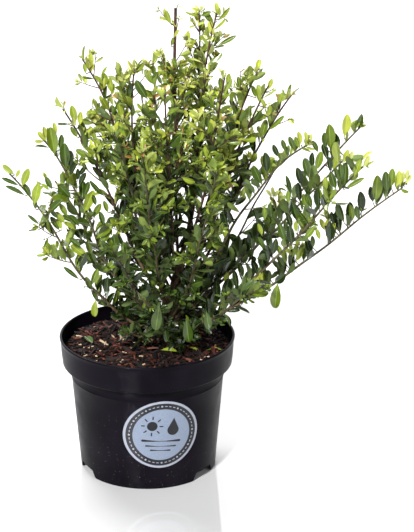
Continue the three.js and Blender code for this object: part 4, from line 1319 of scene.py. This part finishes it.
def add_single_leaves(foliage, by_name):
    """Leaves that stand out by themselves, on twigs where their shoot is near, and fallen leaves."""
    for rows, breadth in ((SINGLE_LEAVES, PLACED_LEAF.width), (EDGE_LEAVES, PLACED_LEAF.edge_width)):
        for name, leaves in rows.items():
            for *ends, step in leaves:
                beside = by_name[name].nearest(ends[:2])
                stalk = at_pixel(ends[:2], beside, -PLACED_LEAF.proud)
                tip = at_pixel(ends[2:], stalk)
                if norm(stalk - beside) < LONGEST_TWIG:
                    twig = lerp(beside, stalk, np.linspace(0, 1, 4)[:, None])
                    foliage.add_stem(by_name[name].habit, twig, np.full(4, TWIG_RADIUS))
                place_leaf(foliage, stalk, tip, PLACED_LEAF.facing, breadth, LADDER[step])
    for one, other, step in FALLEN_LEAVES:
        place_leaf(foliage, on_mix(one), on_mix(other), UP, PLACED_LEAF.width, LADDER[step])


def on_mix(pixel):
    """The point just over the mix that shows at a pixel."""
    point = np.array([0.0, 0.0, MIX.top])
    for _ in range(4):
        here, scale = to_pixel(point)
        across, drop = (np.array(pixel) - here) / scale
        point[0] += across
        point[1] -= drop / sin(radians(VIEW.elevation))
        point[2] = mix_height(point[0], point[1]) + 3.2
    return point


def stamp_leaves(pile, template, placed):
    """Copies a leaf template to each of its places."""
    corners, faces, under = LEAF_TEMPLATES[template]
    roots = np.array([root for root, _ in placed])
    bases = np.array([basis for _, basis in placed])
    stamped = roots[:, None, :] + np.einsum("vc,ncd->nvd", corners, bases)
    offsets = np.arange(len(placed))[:, None, None] * len(corners)
    pile.add(stamped.reshape(-1, 3), (faces[None] + offsets).reshape(-1, 3), np.tile(under, len(placed)))


def make_foliage(shoots):
    foliage = Foliage()
    by_name = {shoot.name: shoot for shoot in shoots}
    add_single_leaves(foliage, by_name)
    for number, shoot in enumerate(shoots):
        reseed(number + 1)
        grow_shoot(foliage, shoot)
    grow_side_branches(foliage, by_name)
    masses = [f"foliage_{shoot.name}" for shoot in shoots]
    for tint in TINTS:
        finishes = leaf_finishes(tint)
        for size, templates in (("large", FINE_TEMPLATES), ("small", PLAIN_TEMPLATES)):
            pile = Pile()
            for template in templates:
                if (tint, template) in foliage.leaves:
                    stamp_leaves(pile, template, foliage.leaves[tint, template])
            if pile.count:
                make_piece(f"leaves_{tint}_{size}", pile, finishes, masses)
    purple = bark_finish("stem_purple", (36, 22, 22), (74, 48, 42), 0.35, 0.6)
    olive = bark_finish("stem_olive", (42, 36, 26), (80, 72, 50), 0.3, 0.6)
    for kind, finish in (("purple", purple), ("olive", olive)):
        make_piece(f"stems_{kind}", foliage.stems[kind], [finish], masses, 60)


# ---- stage, light and camera

STUDIO = Named(front=0.07, back=1.1, ceiling=0.24, strength=1.7)
# Each lamp's direction, height and spread in degrees, and its strength.
LAMPS = [("top", 110, 62, 30, 4.0), ("key", 246, 41, 8, 5.4), ("side", -40, 36, 20, 1.0)]


def make_stage():
    """A plain pale floor with a faint gloss."""
    bpy.ops.mesh.primitive_circle_add(vertices=96, radius=9, fill_type="NGON")
    floor = bpy.context.object
    floor.name = "floor"
    white = Finish("floor_white", (195, 195, 195), 0.03, 1.0)
    white.paint(white.noise(3, 2.0), (0.4, (194, 194, 194)), (0.6, (197, 197, 197)))
    floor.data.materials.append(white.material)


def add_sun(name, degrees, slope, spread, strength):
    """A very wide, soft light from a direction and a height in degrees."""
    data = bpy.data.lights.new(name, "SUN")
    data.angle = radians(spread)
    data.energy = strength
    light = bpy.data.objects.new(name, data)
    bpy.context.scene.collection.objects.link(light)
    towards = Vector(slant(radians(degrees), slope))
    light.rotation_euler = (-towards).to_track_quat("-Z", "Y").to_euler()


def light_scene():
    """Soft studio light: a white wall behind, a darker room in front and lamps from above."""
    world = bpy.data.worlds.new("studio")
    bpy.context.scene.world = world
    world.use_nodes = True
    tree = world.node_tree
    axes = axes_of(tree, "Generated")
    half_turned = add_node(tree, "Math", {0: axes["Y"], 1: 0.5, 2: 0.5}, operation="MULTIPLY_ADD")["Value"]
    walls = ramp(tree, half_turned, (0.7, gray(STUDIO.front)), (0.93, gray(STUDIO.back)))
    ceiling = ramp(tree, axes["Z"], (0.45, gray(1.0)), (0.75, gray(STUDIO.ceiling)))
    inputs = {"Factor": 1.0, "A": walls, "B": ceiling}
    room = add_node(tree, "Mix", inputs, data_type="RGBA", blend_type="MULTIPLY")
    background = tree.nodes["Background"].inputs
    tree.links.new(room["Result"], background["Color"])
    background["Strength"].default_value = STUDIO.strength
    for lamp in LAMPS:
        add_sun(*lamp)
    bpy.context.scene.view_settings.view_transform = "Standard"


def make_camera():
    """A long lens at the height and the distance that the view was taken from."""
    data = bpy.data.cameras.new("camera")
    camera = bpy.data.objects.new("camera", data)
    bpy.context.scene.collection.objects.link(camera)
    target = Vector(VIEW.target) * MM
    slope = radians(VIEW.elevation)
    away = Vector((0, -cos(slope), sin(slope))) * VIEW.distance * MM
    camera.location = target + away
    camera.rotation_euler = (-away).to_track_quat("-Z", "Y").to_euler()
    data.sensor_width = 36
    data.lens = VIEW.pixels_per_mm * VIEW.distance / IMAGE_HEIGHT * data.sensor_width
    data.clip_end = 50
    bpy.context.scene.camera = camera


# ---- the whole plant

make_stage()
light_scene()
make_camera()
make_pot()
make_label()
make_soil()
make_chips()
make_trunk()
long_shoots = all_shoots()
make_boughs(long_shoots)
make_foliage(long_shoots)
